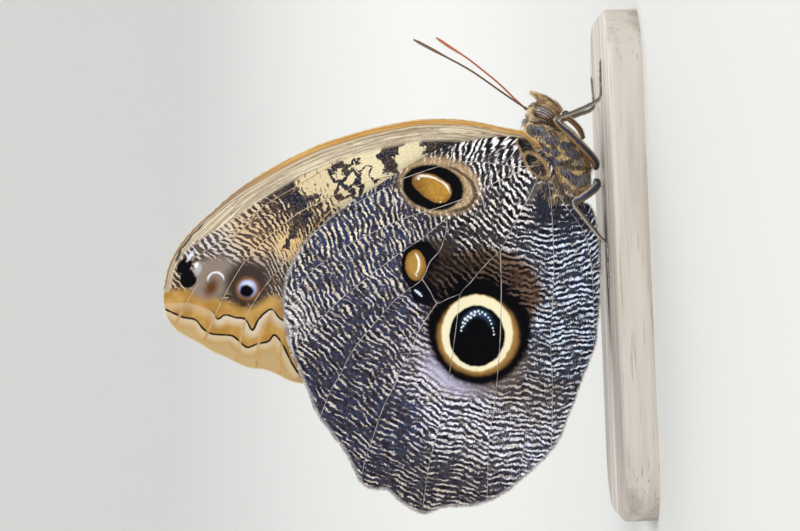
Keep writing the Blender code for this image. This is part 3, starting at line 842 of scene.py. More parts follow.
def buildVeins(name, form, side):
    work = bmesh.new()
    for points in form["veins"].values():
        track = evenTrack(photoTrack(points), 0.6)
        middle = wingMiddle(track, form["out"], np.zeros(len(track))) + wingForm["middle"] + veinForm["lift"]
        rings = []
        for k, (x, z) in enumerate(track):
            run = track[min(k + 1, len(track) - 1)] - track[max(k - 1, 0)]
            across = np.array([-run[1], run[0]]) / np.linalg.norm(run)
            thick = veinForm["radius"] * (1.15 - 0.5 * k / len(track))
            ring = []
            for turn in np.arange(veinForm["sides"]) * fullTurn / veinForm["sides"]:
                move = across * math.cos(turn) * thick
                rise = side * (middle[k] + math.sin(turn) * thick * 0.6)
                ring.append(work.verts.new((x + move[0], rise, z + move[1])))
            rings.append(ring)
        joinRings(work, rings)
    return link(name, meshFrom(name, work))


def tonedMaterial(name, tones, scale, low, high, roughness, specular, shaded=False):
    # Two tones, mottled by noise, and each tuft its own shade where the piece is a coat
    material, wire = startMaterial(name)
    colour = lay(*tones, noise(placeOn(wire), scale), low, high)
    if shaded:
        colour = times(colour, ramp(attribute(wire, "tuftShade"), 0.0, 1.0, 0.55, 1.35))
    finishMaterial(wire, colour, roughness, specular)
    return material


def wingUnwrap(mesh):
    # The wing's own plan, its outer face in one half of the unwrap and its inner face in the other
    spots = read(mesh.vertices, "co", 3)
    low, high = spots.min(0), spots.max(0)
    flat = (spots - low)[:, [0, 2]] / (high - low).max()
    flat[len(spots) // 2:, 0] += 1.0
    unwrap(mesh, 0.02 + 0.96 * flat * (0.5, 1.0))


# Long hairs over the hindwing's root and a fringe along its rim, in the units of the body's coats
hairForms = {
    "base": dict(density=10.0, length=1.25, width=0.055, lift=0.14, seed=31,
                 tones=((0.11, 0.085, 0.065), (0.52, 0.38, 0.22))),
    "fringe": dict(density=60.0, length=0.40, width=0.075, lift=0.0, seed=33,
                   tones=((0.26, 0.24, 0.25), (0.60, 0.56, 0.52))),
}
baseLines = [
    [(546, 160), (540, 168), (545, 180), (552, 195)],
    [(553, 182), (562, 192), (575, 203)],
    [(530, 139), (538, 150)],
]
hairMarks = dict(root=(558, 158), fringeFrom=(0, 215))


def wingHairs(wing, side, tuft, node):
    zero = np.array((home.x, home.z))
    root = np.array(fromPhoto(*hairMarks["root"])) - zero
    lines = np.vstack([evenTrack(photoTrack(line), 0.3) for line in baseLines]) - zero
    outline = evenTrack(photoTrack(hindOutline), wingForm["spacing"], closed=True) - zero
    middle = outline.mean(axis=0)

    def atBase(spots, normals):
        plan = spots[:, [0, 2]]
        away, _ = nearest(lines, plan)
        arm = plan - root
        lie = np.column_stack([arm[:, 0], np.zeros(len(plan)), arm[:, 1]])
        weight = (1 - fade(away, 0.6, 2.1)) * (normals[:, 1] * side > 0.5)
        return lie, weight, 0.6 + 0.4 * fade(away, 2.0, 0.3)

    def atRim(spots, normals):
        plan = spots[:, [0, 2]]
        away, index = nearest(outline, plan)
        run = np.roll(outline, -1, axis=0)[index] - np.roll(outline, 1, axis=0)[index]
        out = np.column_stack([run[:, 1], np.zeros(len(plan)), -run[:, 0]])
        toMiddle = plan - middle
        flip = np.sign(out[:, 0] * toMiddle[:, 0] + out[:, 2] * toMiddle[:, 1])
        free = (plan[:, 0] < fromPhoto(*hairMarks["fringeFrom"])[0] - home.x).astype(float)
        return out * flip[:, None], (away < 0.12) * free, np.ones(len(plan))

    for key, fields in (("base", atBase), ("fringe", atRim)):
        ground = coatGround(wing, (-99.0, 99.0), fields, flatten=key == "base")
        form, name = hairForms[key], node.replace("_", "-") + "-" + key
        material = tonedMaterial(node + " " + key, form["tones"], 500.0, 0.4, 0.6, 0.7, 0.15, shaded=True)
        layCoat(name, ground, form, tuft, material, [node])


wings = {
    "hindwing": dict(
        outline=hindOutline, veins=hindVeins, out=wingForm["hindOut"], root=hindRoot, fields=hindFields,
        scales=hindMaterial, veinTones=((0.52, 0.49, 0.46), (0.18, 0.16, 0.15))),
    "forewing": dict(
        outline=foreOutline, veins=foreVeins, out=wingForm["foreOut"], root=foreRoots["near"],
        fields=foreFields, scales=foreMaterial, veinTones=((0.66, 0.54, 0.36), (0.34, 0.24, 0.14))),
}


def makeWings(tuft):
    for word, side in (("right", -1), ("left", 1)):
        sheets = {key: buildWing(key + "-" + word + "-scaled", form, side) for key, form in wings.items()}
        for key, wing in sheets.items():
            wing.data.materials.append(wings[key]["scales"]())
            wingUnwrap(wing.data)
            register(wing, [key + "_" + word])
        for key, form in wings.items():
            veins = buildVeins(key + "-veins-" + word, form, side)
            veinTones = tonedMaterial(key + " vein", form["veinTones"], 600.0, 0.4, 0.65, 0.6, 0.2)
            veins.data.materials.append(veinTones)
            register(veins, [key + "_" + word])
        wingHairs(sheets["hindwing"], side, tuft, "hindwing_" + word)


# Body
skinForm = dict(voxel=0.2, inset=0.16, joins=[
    ((14.75, 0, 10.2), (1.3, 1.35, 1.75)), ((0.2, 0, 6.9), (1.6, 2.3, 2.9)),
    ((17.2, 0, 9.3), (1.5, 1.35, 1.9)), ((17.4, 0, 11.5), (1.0, 1.3, 1.5)),
    ((14.6, 0, 12.9), (1.1, 1.6, 1.3)), ((16.4, 0, 8.2), (0.9, 1.2, 1.1)),
])  # each join is a ball's middle and half sizes, in mm


def addBall(work, centre, half):
    made = bmesh.ops.create_icosphere(work, subdivisions=3, radius=1.0)["verts"]
    bmesh.ops.scale(work, vec=half, verts=made)
    bmesh.ops.translate(work, vec=centre, verts=made)


def makeSkin():
    # Head, thorax, abdomen and palps joined into one closed skin, a coat's depth inside the solids
    nodes = ["head", "thorax", "abdomen", "palp_left", "palp_right"]
    work = bmesh.new()
    for name in nodes:
        piece = bmesh.new()
        piece.from_mesh(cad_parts[name].data)
        bmesh.ops.remove_doubles(piece, verts=piece.verts, dist=1e-6)
        solid = bpy.data.meshes.new("solid")
        piece.to_mesh(solid)
        piece.free()
        work.from_mesh(solid)
    bmesh.ops.scale(work, vec=(1 / mm,) * 3, verts=work.verts)
    for centre, half in skinForm["joins"]:
        addBall(work, Vector(centre) + home, half)
    skin = link("body-skin", meshFrom("body-skin", work))
    remesh = skin.modifiers.new("one skin", "REMESH")
    remesh.mode = "VOXEL"
    remesh.voxel_size = skinForm["voxel"] * mm
    relax = skin.modifiers.new("relax", "SMOOTH")
    relax.factor = 0.6
    relax.iterations = 6
    mesh = evaluated(skin)
    normals = read(mesh.vertex_normals, "vector", 3)
    spots = read(mesh.vertices, "co", 3) - normals * skinForm["inset"] * mm
    mesh.vertices.foreach_set("co", spots.ravel())
    mesh.shade_smooth()
    skin.data = mesh
    mesh.materials.append(bodyMaterial("body skin", False))
    layUnwrap(mesh)
    register(skin, nodes)
    print("skin", len(mesh.vertices))
    return skin


def layUnwrap(mesh):
    # An unwrap of the skin's own shape: round the body's axis one way, along it the other
    spots = read(mesh.vertices, "co", 3) / mm - np.array(home)
    middle = np.interp(spots[:, 0], [-21, 0, 8, 16, 20], [4.4, 7, 8.3, 10.4, 10.8])
    around = np.arctan2(spots[:, 1], spots[:, 2] - middle) / fullTurn + 0.5
    along = (spots[:, 0] + 22.5) / 44.0
    unwrap(mesh, np.column_stack([0.02 + 0.96 * around, 0.02 + 0.96 * along]))
    # Keep the faces that cross the back seam together
    layer = mesh.uv_layers["OFBake"].data
    flat = read(layer, "uv", 2)
    starts, sizes = [read(mesh.polygons, key, 1, np.int32) for key in ("loop_start", "loop_total")]
    for start, size in zip(starts, sizes):
        us = flat[start:start + size, 0]
        if us.max() - us.min() > 0.5:
            flat[start:start + size, 0] = np.where(us < 0.5, 0.98, us)
    layer.foreach_set("uv", flat.astype(np.float32).ravel())


bodyTones = dict(
    ochre=(0.42, 0.25, 0.105), tan=(0.74, 0.54, 0.30), slate=(0.040, 0.062, 0.155),
    black=(0.016, 0.015, 0.022), grey=(0.20, 0.23, 0.30), cream=(0.70, 0.56, 0.34), brown=(0.13, 0.085, 0.05),
)
bodyPatches = [
    (537, 130.5, 9, 6.5, 12, "cream"), (536.5, 130.5, 7.5, 4.8, 12, "grey"),
    (537, 132.5, 7, 2.2, 14, "slate"), (545, 137, 6, 2.5, -35, "grey"), (552, 142, 6.5, 3.6, 12, "slate"),
    (542.5, 142, 3, 2, 0, "cream"), (566, 146.5, 6.5, 4, 5, "slate"), (573, 155, 8, 4.2, 12, "slate"),
    (552, 153, 6, 3.5, 10, "slate"), (541, 148, 6, 3.2, 25, "slate"), (548, 156, 3, 1.6, 0, "cream"),
    (552, 163, 6.5, 4.2, 10, "slate"), (565, 164, 7, 4, -10, "black"), (578, 168, 15, 2.6, 4, "black"),
    (566, 174, 7, 3.6, 25, "slate"), (575, 181, 7, 4, 20, "slate"), (551, 182, 5, 6, 40, "slate"),
    (583, 180, 5, 7, 30, "grey"), (562, 188, 7, 3.5, 10, "grey"), (590, 160, 6, 8, 0, "ochre"),
    (541, 122.5, 12, 1.6, 6, "black"), (541, 125.5, 10, 1.3, 8, "cream"), (555, 127, 7, 2.5, 38, "black"),
    (524, 119, 4, 4, 0, "grey"), (534, 104, 6, 4, 20, "brown"), (547, 120, 9, 1.6, 30, "brown"),
    (551, 101, 13, 1.1, 42, "brown"), (540, 118, 10, 1.5, 14, "cream"), (537, 115.5, 7, 0.8, 22, "brown"),
    (536, 96, 5, 0.9, 60, "brown"), (545, 106, 8, 0.8, 22, "cream"), (533, 109, 1.6, 4, 0, "cream"),
]


faceShade = ((547, 104), (26, 15), 45)  # the face is palest outside this spot
abdomenLook = dict(band=2.3, start=-0.3, full=-1.6, paleFrom=4.2, paleFull=2.6)  # mm


def bodyMaterial(name, coat):
    material, wire = startMaterial(name)
    place = placeOn(wire)
    rough = jitter(jitter(place, 800.0, 0.0013), 2600.0, 0.0005)
    netting = {"Vector": rough, "Scale": 560.0, "Randomness": 0.85}
    edge = wire.node("ShaderNodeTexVoronoi", {"feature": "DISTANCE_TO_EDGE"}, netting, out="Distance")
    kind = part(wire.node("ShaderNodeTexVoronoi", {"feature": "F1"}, netting, out="Color"), 0)
    patchy = noise(place, 520.0, 3.0)
    x, z = part(place, 0), part(place, 2)
    behindHead = ramp(x, (home.x + 15.0) * mm, (home.x + 13.6) * mm)
    tones = bodyTones
    colour = lay(tones["ochre"], tones["tan"], patchy, 0.38, 0.60)
    fill = lay(tones["slate"], tones["black"], kind, 0.45, 0.55)
    fill = lay(fill, tones["grey"], kind, 0.72, 0.78)
    fill = lay(fill, tones["tan"], kind, 0.22, 0.16)
    colour = lay(colour, fill, edge, 0.07, 0.14, behindHead * 0.9)
    face = lay((0.42, 0.27, 0.14), (0.70, 0.54, 0.34), patchy, 0.42, 0.6)
    face = lay(face, (0.80, 0.68, 0.48), oval(place, *faceShade), 0.72, 0.95)
    colour = mix(behindHead, face, colour)
    for px, py, wide, tall, tilt, tone in bodyPatches:
        field = oval(rough, (px, py), (wide, tall), tilt)
        if tone in ("slate", "grey"):
            colour = lay(colour, tones["black"], abs(field - 1.08), 0.20, 0.08, 0.75)
        colour = lay(colour, tones[tone], field, 1.08, 0.90, 0.97)
    # Abdomen: dark, with pale bands across it
    look = abdomenLook
    rings = wire.math("SINE", x * (fullTurn / (look["band"] * mm)) + noise(place, 300.0) * 2.2)
    tail = lay((0.050, 0.040, 0.036), (0.34, 0.26, 0.17), rings, 0.35, 0.8, 0.8)
    low, high = [(home.z + look[key]) * mm for key in ("paleFrom", "paleFull")]
    tail = lay(tail, (0.50, 0.38, 0.22), z, low, high, 0.8)
    colour = lay(colour, tail, x, *[(home.x + look[key]) * mm for key in ("start", "full")])
    if coat:
        colour = mix(attribute(wire, "tuftTip") * 0.35, colour, tones["tan"])
        colour = times(colour, ramp(attribute(wire, "tuftShade"), 0.0, 1.0, 0.50, 1.45))
    finishMaterial(wire, colour, 0.7, 0.25)
    return material


# Hair-scales, laid by Geometry Nodes. Lengths and widths in mm, density in tufts for each square mm
coats = {
    "thorax-coat": dict(span=(-1.5, 15.0), density=18.0, length=1.30, width=0.12, lift=0.40, seed=3),
    "head-coat": dict(span=(14.2, 18.6), density=46.0, length=0.62, width=0.08, lift=0.45, seed=5),
    "abdomen-coat": dict(span=(-23.0, -1.2), density=13.0, length=0.95, width=0.15, lift=0.24, seed=7),
    "palp-coat": dict(span=(14.6, 21.5), density=60.0, length=0.75, width=0.075, lift=0.42, seed=9),
}


def tuftMesh():
    # One flat hair-scale of unit length along Y, bent and pointed, four faces long
    work = bmesh.new()
    rings = []
    for along, half, rise in ((0.0, 0.30, 0.0), (0.35, 0.5, 0.06), (0.7, 0.36, 0.05)):
        ring = ((-half, rise), (0, rise + 0.22 * half), (half, rise), (0, rise - 0.12))
        rings.append([work.verts.new((x, along, z)) for x, z in ring])
    joinRings(work, rings, work.verts.new((0, 1.0, -0.05)))
    return meshFrom("hair-scale", work, 1.0, smooth=False)


def tuftTree(name, tuft, material):
    tree = bpy.data.node_groups.new(name, "GeometryNodeTree")
    titles = ("Geometry", "Density", "Length", "Width", "Lift", "Seed")
    for title, kind in zip(titles, ("Geometry", "Float", "Float", "Float", "Float", "Int")):
        tree.interface.new_socket(title, in_out="INPUT", socket_type="NodeSocket" + kind)
    tree.interface.new_socket("Geometry", in_out="OUTPUT", socket_type="NodeSocketGeometry")
    wire = Wire(tree)
    start = tree.nodes.new("NodeGroupInput")
    skin, density, length, width, lift, seed = [Wire(tree, start.outputs[title]) for title in titles]

    def named(title, kind="FLOAT"):
        return wire.node("GeometryNodeInputNamedAttribute", {"data_type": kind}, {"Name": title})

    def chance(low, high):
        sockets = {2: low, 3: high, "Seed": seed}
        return wire.node("FunctionNodeRandomValue", {"data_type": "FLOAT"}, sockets, out=1)

    def align(axis, pivot, sockets):
        return wire.node("FunctionNodeAlignRotationToVector", {"axis": axis, "pivot_axis": pivot}, sockets)

    points = {"Mesh": skin, "Density": density * named("coatWeight"), "Seed": seed}
    spread = {"distribute_method": "RANDOM"}
    points = wire.node("GeometryNodeDistributePointsOnFaces", spread, points, out="Points")
    normal = Wire(tree, points.socket.node.outputs["Normal"])
    stray = {0: (-0.22,) * 3, 1: (0.22,) * 3, "Seed": seed}
    stray = wire.node("FunctionNodeRandomValue", {"data_type": "FLOAT_VECTOR"}, stray)
    rise = wire.node("ShaderNodeVectorMath", {"operation": "SCALE"}, {0: normal, "Scale": lift})
    grow = wire.vector("ADD", wire.vector("ADD", named("lie", "FLOAT_VECTOR"), stray), rise)
    turn = align("Z", "Y", {"Rotation": align("Y", "AUTO", {"Vector": grow}), "Vector": normal})
    longness = length * chance(0.65, 1.25) * named("coatLength")
    wide = width * chance(0.7, 1.3)
    size = wire.node("ShaderNodeCombineXYZ", {}, {0: wide, 1: longness, 2: wide})
    space = {"transform_space": "ORIGINAL"}
    model = wire.node("GeometryNodeObjectInfo", space, {"Object": tuft}, out="Geometry")
    tufts = {"Points": points, "Instance": model, "Rotation": turn, "Scale": size}
    tufts = wire.node("GeometryNodeInstanceOnPoints", {}, tufts)
    shade = {"Geometry": tufts, "Name": "tuftShade", "Value": chance(0.0, 1.0)}
    shade = wire.node("GeometryNodeStoreNamedAttribute", {"data_type": "FLOAT", "domain": "INSTANCE"}, shade)
    real = wire.node("GeometryNodeRealizeInstances", {}, {"Geometry": shade})
    painted = wire.node("GeometryNodeSetMaterial", {}, {"Geometry": real, "Material": material})
    wire.node("NodeGroupOutput", {}, {0: painted})
    return tree


def bakePatches(mesh, tuft):
    # Each tuft's patch on the unwrap, at the place of its root
    patchSize = 0.003
    roots = read(mesh.attributes["rootPlace"].data, "vector", 3)[:, :2]
    local = read(tuft.vertices, "co", 3)[:, :2]
    local = (local - local.min(0)) / (local.max(0) - local.min(0))
    tufts = len(mesh.vertices) // len(local)
    unwrap(mesh, np.clip(roots + (np.tile(local, (tufts, 1)) - 0.5) * patchSize, 0.001, 0.999))
    store(mesh, "tuftTip", np.tile(local[:, 1], tufts))
    return tufts


def layCoat(name, ground, form, tuft, material, nodes):
    tree = tuftTree(name, tuft, material)
    coat = link(name, ground)
    grow = coat.modifiers.new("tufts", "NODES")
    grow.node_group = tree
    keys = {item.name: item.identifier for item in tree.interface.items_tree if item.in_out == "INPUT"}
    sizes = dict(Density=form["density"] / mm ** 2, Length=form["length"] * mm, Width=form["width"] * mm,
                 Lift=form["lift"], Seed=form["seed"])
    for title, value in sizes.items():
        grow[keys[title]] = value
    mesh = evaluated(coat)
    coat.data = mesh
    tufts = bakePatches(mesh, tuft.data)
    register(coat, nodes)
    print(name, "tufts", tufts, "triangles", sum(len(face.vertices) - 2 for face in mesh.polygons))


def coatGround(skin, span, fields, flatten=True):
    # A copy of the skin with the lie, weight and length of the coat, and each root's place on the unwrap
    mesh = skin.data.copy()
    spots = read(mesh.vertices, "co", 3) / mm - np.array(home)
    normals = read(mesh.vertex_normals, "vector", 3)
    lie, weight, length = fields(spots, normals)
    if flatten:
        lie = lie - normals * np.sum(lie * normals, axis=1)[:, None]
    lie /= np.linalg.norm(lie, axis=1)[:, None] + 1e-6
    start, end = span
    weight = weight * fade(spots[:, 0], start, start + 0.4) * (1 - fade(spots[:, 0], end - 0.4, end))
    for key, values in (("lie", lie), ("coatWeight", weight), ("coatLength", length)):
        store(mesh, key, values)
    flat = read(mesh.uv_layers["OFBake"].data, "uv", 2)
    store(mesh, "rootPlace", np.column_stack([flat, np.zeros(len(flat))]), "CORNER")
    mesh.uv_layers.remove(mesh.uv_layers["OFBake"])
    return mesh


palpRoute = [(16.45, 6.95), (17.5, 8.2), (18.45, 9.7), (19.3, 11.1), (20.05, 12.4)]


def onPalp(spots):
    # 1 on the palps, 0 on the rest of the head
    away = [np.hypot(spots[:, 0] - x, spots[:, 2] - z) for x, z in smoothTrack(palpRoute, 6)]
    return 1 - fade(np.min(away, axis=0), 0.75, 1.1)


def bodyLie(spots, normals):
    # Hairs lie back on the body, out from the face's middle and up on the palps. The eyes are bare
    lie = np.tile([-1.0, 0.0, -0.15], (len(spots), 1))
    onHead = fade(spots[:, 0], 14.6, 15.6)
    away = np.column_stack([np.full(len(spots), -0.5), spots[:, 1] * 0.35, spots[:, 2] - 9.2])
    lie = lie * (1 - onHead[:, None]) + away * onHead[:, None]
    palp = onPalp(spots)[:, None]
    lie = lie * (1 - palp) + np.array([0.75, 0.0, 1.0]) * palp
    eye = (np.abs(spots) - np.array(eyeLook["place"])) @ np.array(eyeTurn) / np.array([1.25, 1.5, 2.0])
    weight = fade(np.linalg.norm(eye, axis=1), 0.98, 1.06)
    length = 0.85 + 0.35 * (normals[:, 2] > 0.2) + 0.2 * np.sin(spots[:, 0] * 2.1)
    length = np.where(spots[:, 0] > 14.4, 1.0 + 0.5 * fade(spots[:, 2], 11.5, 13.0), length)
    return lie, weight, length


def makeBody(tuft):
    skin = makeSkin()
    material = bodyMaterial("body coat", True)
    for name, form in coats.items():
        def fields(spots, normals, name=name):
            lie, weight, length = bodyLie(spots, normals)
            palp = onPalp(spots)
            return lie, weight * {"palp-coat": palp, "head-coat": 1 - palp}.get(name, 1.0), length
        node = name.split("-")[0]
        nodes = ["palp_left", "palp_right"] if node == "palp" else [node]
        layCoat(name, coatGround(skin, form["span"], fields), form, tuft, material, nodes)


# Eyes
eyeLook = dict(place=(16.25, 2.05, 10.4), half=(1.15, 1.15, 1.9), tilt=math.radians(28), facet=11000.0,
               band=0.46, broadBand=1.04)
eyeTurn = Matrix.Rotation(eyeLook["tilt"], 3, "Y")


def eyeMaterial():
    material, wire = startMaterial("banded eye")
    place = placeOn(wire)
    middle = (np.array(home) + np.array(eyeLook["place"]) * (1, 0, 1)) * mm
    turn = (0, eyeLook["tilt"], 0)
    sockets = {"Vector": place, "Location": tuple(middle), "Rotation": turn, "Scale": (mm,) * 3}
    local = jitter(wire.node("ShaderNodeMapping", {"vector_type": "TEXTURE"}, sockets), 1.6, 0.22)
    across, along = part(local, 0), part(local, 2)
    bent = across + along * along * 0.10
    band = wire.math("SINE", bent * (fullTurn / eyeLook["band"]) + 0.6)
    colour = lay((0.050, 0.032, 0.030), (0.34, 0.27, 0.25), band, -0.5, 0.6)
    broad = wire.math("SINE", bent * (fullTurn / eyeLook["broadBand"]))
    colour = lay(colour, (0.15, 0.10, 0.12), broad, 0.55, 0.9, 0.7)
    size = wire.vector("DIVIDE", local, eyeLook["half"])
    rim = wire.node("ShaderNodeCombineXYZ", {}, {"X": part(size, 0), "Y": part(size, 2), "Z": 0.0})
    colour = lay(colour, (0.10, 0.055, 0.03), wire.vector("LENGTH", rim, out="Value"), 0.78, 0.95)
    facets = {"Vector": place, "Scale": eyeLook["facet"], "Randomness": 0.25}
    facets = wire.node("ShaderNodeTexVoronoi", {}, facets, out="Distance")
    gloss = {"Coat Weight": 0.6, "Coat Roughness": 0.08}
    finishMaterial(wire, colour, 0.22, 0.5, {**gloss, **bump(facets, 0.5, 0.00002)})
    return material


def makeEyes():
    material = eyeMaterial()
    for side, word in ((-1, "right"), (1, "left")):
        work = bmesh.new()
        bmesh.ops.create_uvsphere(work, u_segments=64, v_segments=40, radius=1.0)
        bmesh.ops.scale(work, vec=eyeLook["half"], verts=work.verts)
        bmesh.ops.rotate(work, cent=(0, 0, 0), matrix=eyeTurn, verts=work.verts)
        x, y, z = eyeLook["place"]
        bmesh.ops.translate(work, vec=home + Vector((x, side * y, z)), verts=work.verts)
        eye = makePiece("eye-" + word + "-banded", work, material, ["eye_" + word])
        print("eye", word, "points", len(eye.data.vertices))


# Limbs: rounded tubes along a route of (x, outward, height, half thickness)
def routePlaces(rows, side):
    return [Vector((x, side * out, height)) + home for x, out, height in rows[:, :3]]


def sweep(rows, side, sides):
    # Rings of points with the way along and round each kept for the colours and the unwrap
    work = bmesh.new()
    along, around = [work.verts.layers.float.new(key) for key in ("along", "around")]
    flat = work.loops.layers.uv.new("OFBake")
    places = routePlaces(rows, side)
    gone, rings, runs = 0.0, [], []
    for k, spot in enumerate(places):
        gone += (spot - places[k - 1]).length if k else 0.0
        run = (places[min(k + 1, len(places) - 1)] - places[max(k - 1, 0)]).normalized()
        across = Vector((0, 1, 0)).cross(run).normalized()
        outward = run.cross(across)
        ring = []
        for step in range(sides):
            angle = fullTurn * step / sides
            move = across * math.cos(angle) * rows[k, 3] + outward * math.sin(angle) * rows[k, 3]
            point = work.verts.new(spot + move)
            point[along], point[around] = gone, math.cos(angle)
            ring.append(point)
        rings.append(ring)
        runs.append(gone)

    def paint(points, marks):
        face = work.faces.new(points)
        for loop, (step, run) in zip(face.loops, marks):
            loop[flat].uv = (0.02 + 0.96 * step / sides, 0.02 + 0.96 * run / gone)

    for one, two, low, high in zip(rings, rings[1:], runs, runs[1:]):
        for k in range(sides):
            after = (k + 1) % sides
            marks = ((k, low), (k + 1, low), (k + 1, high), (k, high))
            paint((one[k], one[after], two[after], two[k]), marks)
    ends = ((rings[0], places[0] * 2 - places[1], 0.0), (rings[-1], places[-1] * 2 - places[-2], gone))
    for ring, spot, run in ends:
        tip = work.verts.new(spot)
        tip[along], tip[around] = run, 0.0
        for k in range(sides):
            paint((ring[k], ring[(k + 1) % sides], tip), [(k, run)] * 3)
    return work


footHeight = 0.48
legForm = dict(gap=0.11, sides=16, coat=dict(density=26.0, length=0.42, width=0.10, lift=0.30, seed=21))
spineForm = dict(half=0.035, every=5, turns=(0.6, 2.5, 3.8, 5.7), length=(0.45, 0.75), seed=5)
clawForm = dict(half=0.07, reach=0.62, spread=0.28, drop=0.22, bend=0.35)
slate, blue, rust = (0.040, 0.048, 0.085), (0.055, 0.085, 0.17), (0.13, 0.065, 0.04)
foreleg = [(11.4, 0.9, 3.3, 0.42), (13.2, 1.3, 4.0, 0.48), (14.9, 1.6, 5.6, 0.42), (15.4, 1.7, 6.9, 0.3)]
legs = {
    "foreleg right": dict(tone=rust, route=foreleg),
    "foreleg left": dict(tone=rust, route=foreleg),
    "midleg right": dict(tone=slate, route=[
        (5.9, 1.0, 1.25, 0.5), (7.0, 2.6, 1.45, 0.75), (9.0, 4.2, 3.1, 0.85), (12.0, 5.0, 5.9, 0.8),
        (14.6, 5.4, 8.3, 0.5), (15.9, 6.2, 5.2, 0.42), (17.4, 7.4, 1.6, 0.36), (18.6, 8.3, footHeight, 0.3),
        (21.0, 9.9, footHeight, 0.3), (24.3, 11.8, footHeight, 0.3)]),
    "midleg left": dict(tone=slate, route=[
        (5.9, 1.0, 1.25, 0.5), (7.2, 2.6, 1.4, 0.75), (9.6, 4.2, 2.9, 0.85), (12.3, 5.0, 4.9, 0.8),
        (14.8, 5.6, 6.8, 0.5), (15.9, 6.8, 4.2, 0.42), (16.8, 7.9, 1.5, 0.36), (17.8, 8.9, footHeight, 0.3),
        (20.1, 10.8, footHeight, 0.3), (23.0, 13.0, footHeight, 0.3)]),
    "hindleg right": dict(tone=blue, route=[
        (3.6, 1.0, 1.3, 0.5), (2.7, 3.0, 1.35, 0.75), (1.3, 5.2, 3.0, 0.85), (0.3, 6.0, 4.7, 0.75),
        (-0.5, 6.3, 5.9, 0.5), (-3.0, 7.0, 4.3, 0.42), (-6.4, 7.9, 1.9, 0.36), (-8.3, 8.4, footHeight, 0.3),
        (-11.5, 9.2, footHeight, 0.3), (-15.6, 10.2, footHeight, 0.3)]),
    "hindleg left": dict(tone=blue, route=[
        (3.6, 1.0, 1.3, 0.5), (2.7, 3.0, 1.35, 0.75), (1.5, 5.3, 3.0, 0.85), (0.7, 6.2, 4.7, 0.75),
        (0.1, 6.6, 5.7, 0.5), (-2.2, 7.8, 4.1, 0.42), (-5.2, 9.2, 1.8, 0.36), (-7.0, 10.1, footHeight, 0.3),
        (-10.0, 11.5, footHeight, 0.3), (-13.8, 13.1, footHeight, 0.3)]),
}


def legRows(route):
    # Even rows waisted at each joint, with the way gone at every row, at the knee and at the ankle
    rows = evenTrack(route, legForm["gap"])
    steps = np.r_[0, np.cumsum(np.linalg.norm(np.diff(rows[:, :3], axis=0), axis=1))]

    def reached(k):
        return steps[np.argmin(np.linalg.norm(rows[:, :3] - np.array(route[k][:3]), axis=1))]

    rows[:, 3] *= 0.80
    if route is foreleg:
        return rows, steps, steps[-1] * 2, steps[-1] * 2
    knee, ankle, end = reached(4), reached(7) - 0.6, steps[-1]
    waists = [(knee, 0.28, 0.35), (ankle, 0.25, 0.25)]
    waists += [(ankle + (end - ankle) * share, 0.30, 0.12) for share in (0.42, 0.58, 0.72, 0.85)]
    for joint, depth, width in waists:
        rows[:, 3] *= 1 - depth * np.exp(-((steps - joint) / width) ** 2)
    rows[:, 3] *= np.where(steps > ankle, 0.86 - 0.22 * (steps - ankle) / (end - ankle), 1.0)
    return rows, steps, knee, ankle


def legMaterial(name, knee, ankle, coat, tone):
    material, wire = startMaterial(name)
    along, around = attribute(wire, "along"), attribute(wire, "around")
    grain = noise(placeOn(wire), 1500.0, 3.0)
    speck = grain - 0.5
    femur = lay(tone, (0.36, 0.22, 0.09), abs(around + speck * 0.5), 0.35, 0.6)
    femur = lay(femur, (0.66, 0.61, 0.54), around + speck * 0.4, 0.55, 0.8)
    shin = lay((0.135, 0.115, 0.10), (0.50, 0.44, 0.36), around, -0.2, 0.75)
    foot = lay((0.17, 0.15, 0.14), (0.36, 0.33, 0.31), grain, 0.4, 0.6)
    colour = lay(femur, shin, along, knee - 0.5, knee + 0.2)
    colour = lay(colour, foot, along, ankle - 0.4, ankle + 0.4)
    if coat:
        colour = times(colour, ramp(attribute(wire, "tuftShade"), 0.0, 1.0, 0.65, 1.35))
    finishMaterial(wire, colour, 0.6, 0.25)
    return material


def spike(work, root, tip, half, bend=(0, 0, 0)):
    # A thin curved cone
    root, tip, bend = Vector(root), Vector(tip), Vector(bend)
    run = (tip - root).normalized()
    across = run.orthogonal().normalized()
    outward = run.cross(across)
    rings = []
    for t, size in ((0.0, 1.0), (0.4, 0.75), (0.75, 0.45)):
        spot = root.lerp(tip, t) + bend * t * (1 - t) * 2
        rings.append([work.verts.new(spot + (across * math.cos(a) + outward * math.sin(a)) * half * size)
                      for a in (0, 2.094, 4.189)])
    joinRings(work, rings, work.verts.new(tip))


def legSpines(rows, steps, knee, ankle, side):
    # Spines along the shin and foot, and two claws
    work = bmesh.new()
    random = np.random.default_rng(spineForm["seed"])
    places = routePlaces(rows, side)
    for k in range(6, len(places) - 3, spineForm["every"]):
        if steps[k] < knee + 0.8:
            continue
        run = (places[k + 1] - places[k - 1]).normalized()
        across = Vector((0, 1, 0)).cross(run).normalized()
        outward = run.cross(across)
        for turn in spineForm["turns"]:
            turn += random.uniform(-0.25, 0.25)
            out = across * math.cos(turn) + outward * math.sin(turn)
            if places[k].z + out.z * 0.7 < home.z + 0.2:
                continue
            size = random.uniform(*spineForm["length"]) * (0.75 if steps[k] > ankle else 1.0)
            root = places[k] + out * rows[k, 3] * 0.8
            spike(work, root, root + (out * 0.55 + run * 0.85) * size, spineForm["half"])
    end = places[-1]
    run = (end - places[-3]).normalized()
    sideways = run.cross(Vector((0, 0, 1)))
    for way in (-1, 1):
        tip = end + run * clawForm["reach"] + sideways * way * clawForm["spread"]
        tip.z -= clawForm["drop"]
        spike(work, end, tip, clawForm["half"], (0, 0, clawForm["bend"]))
    return work


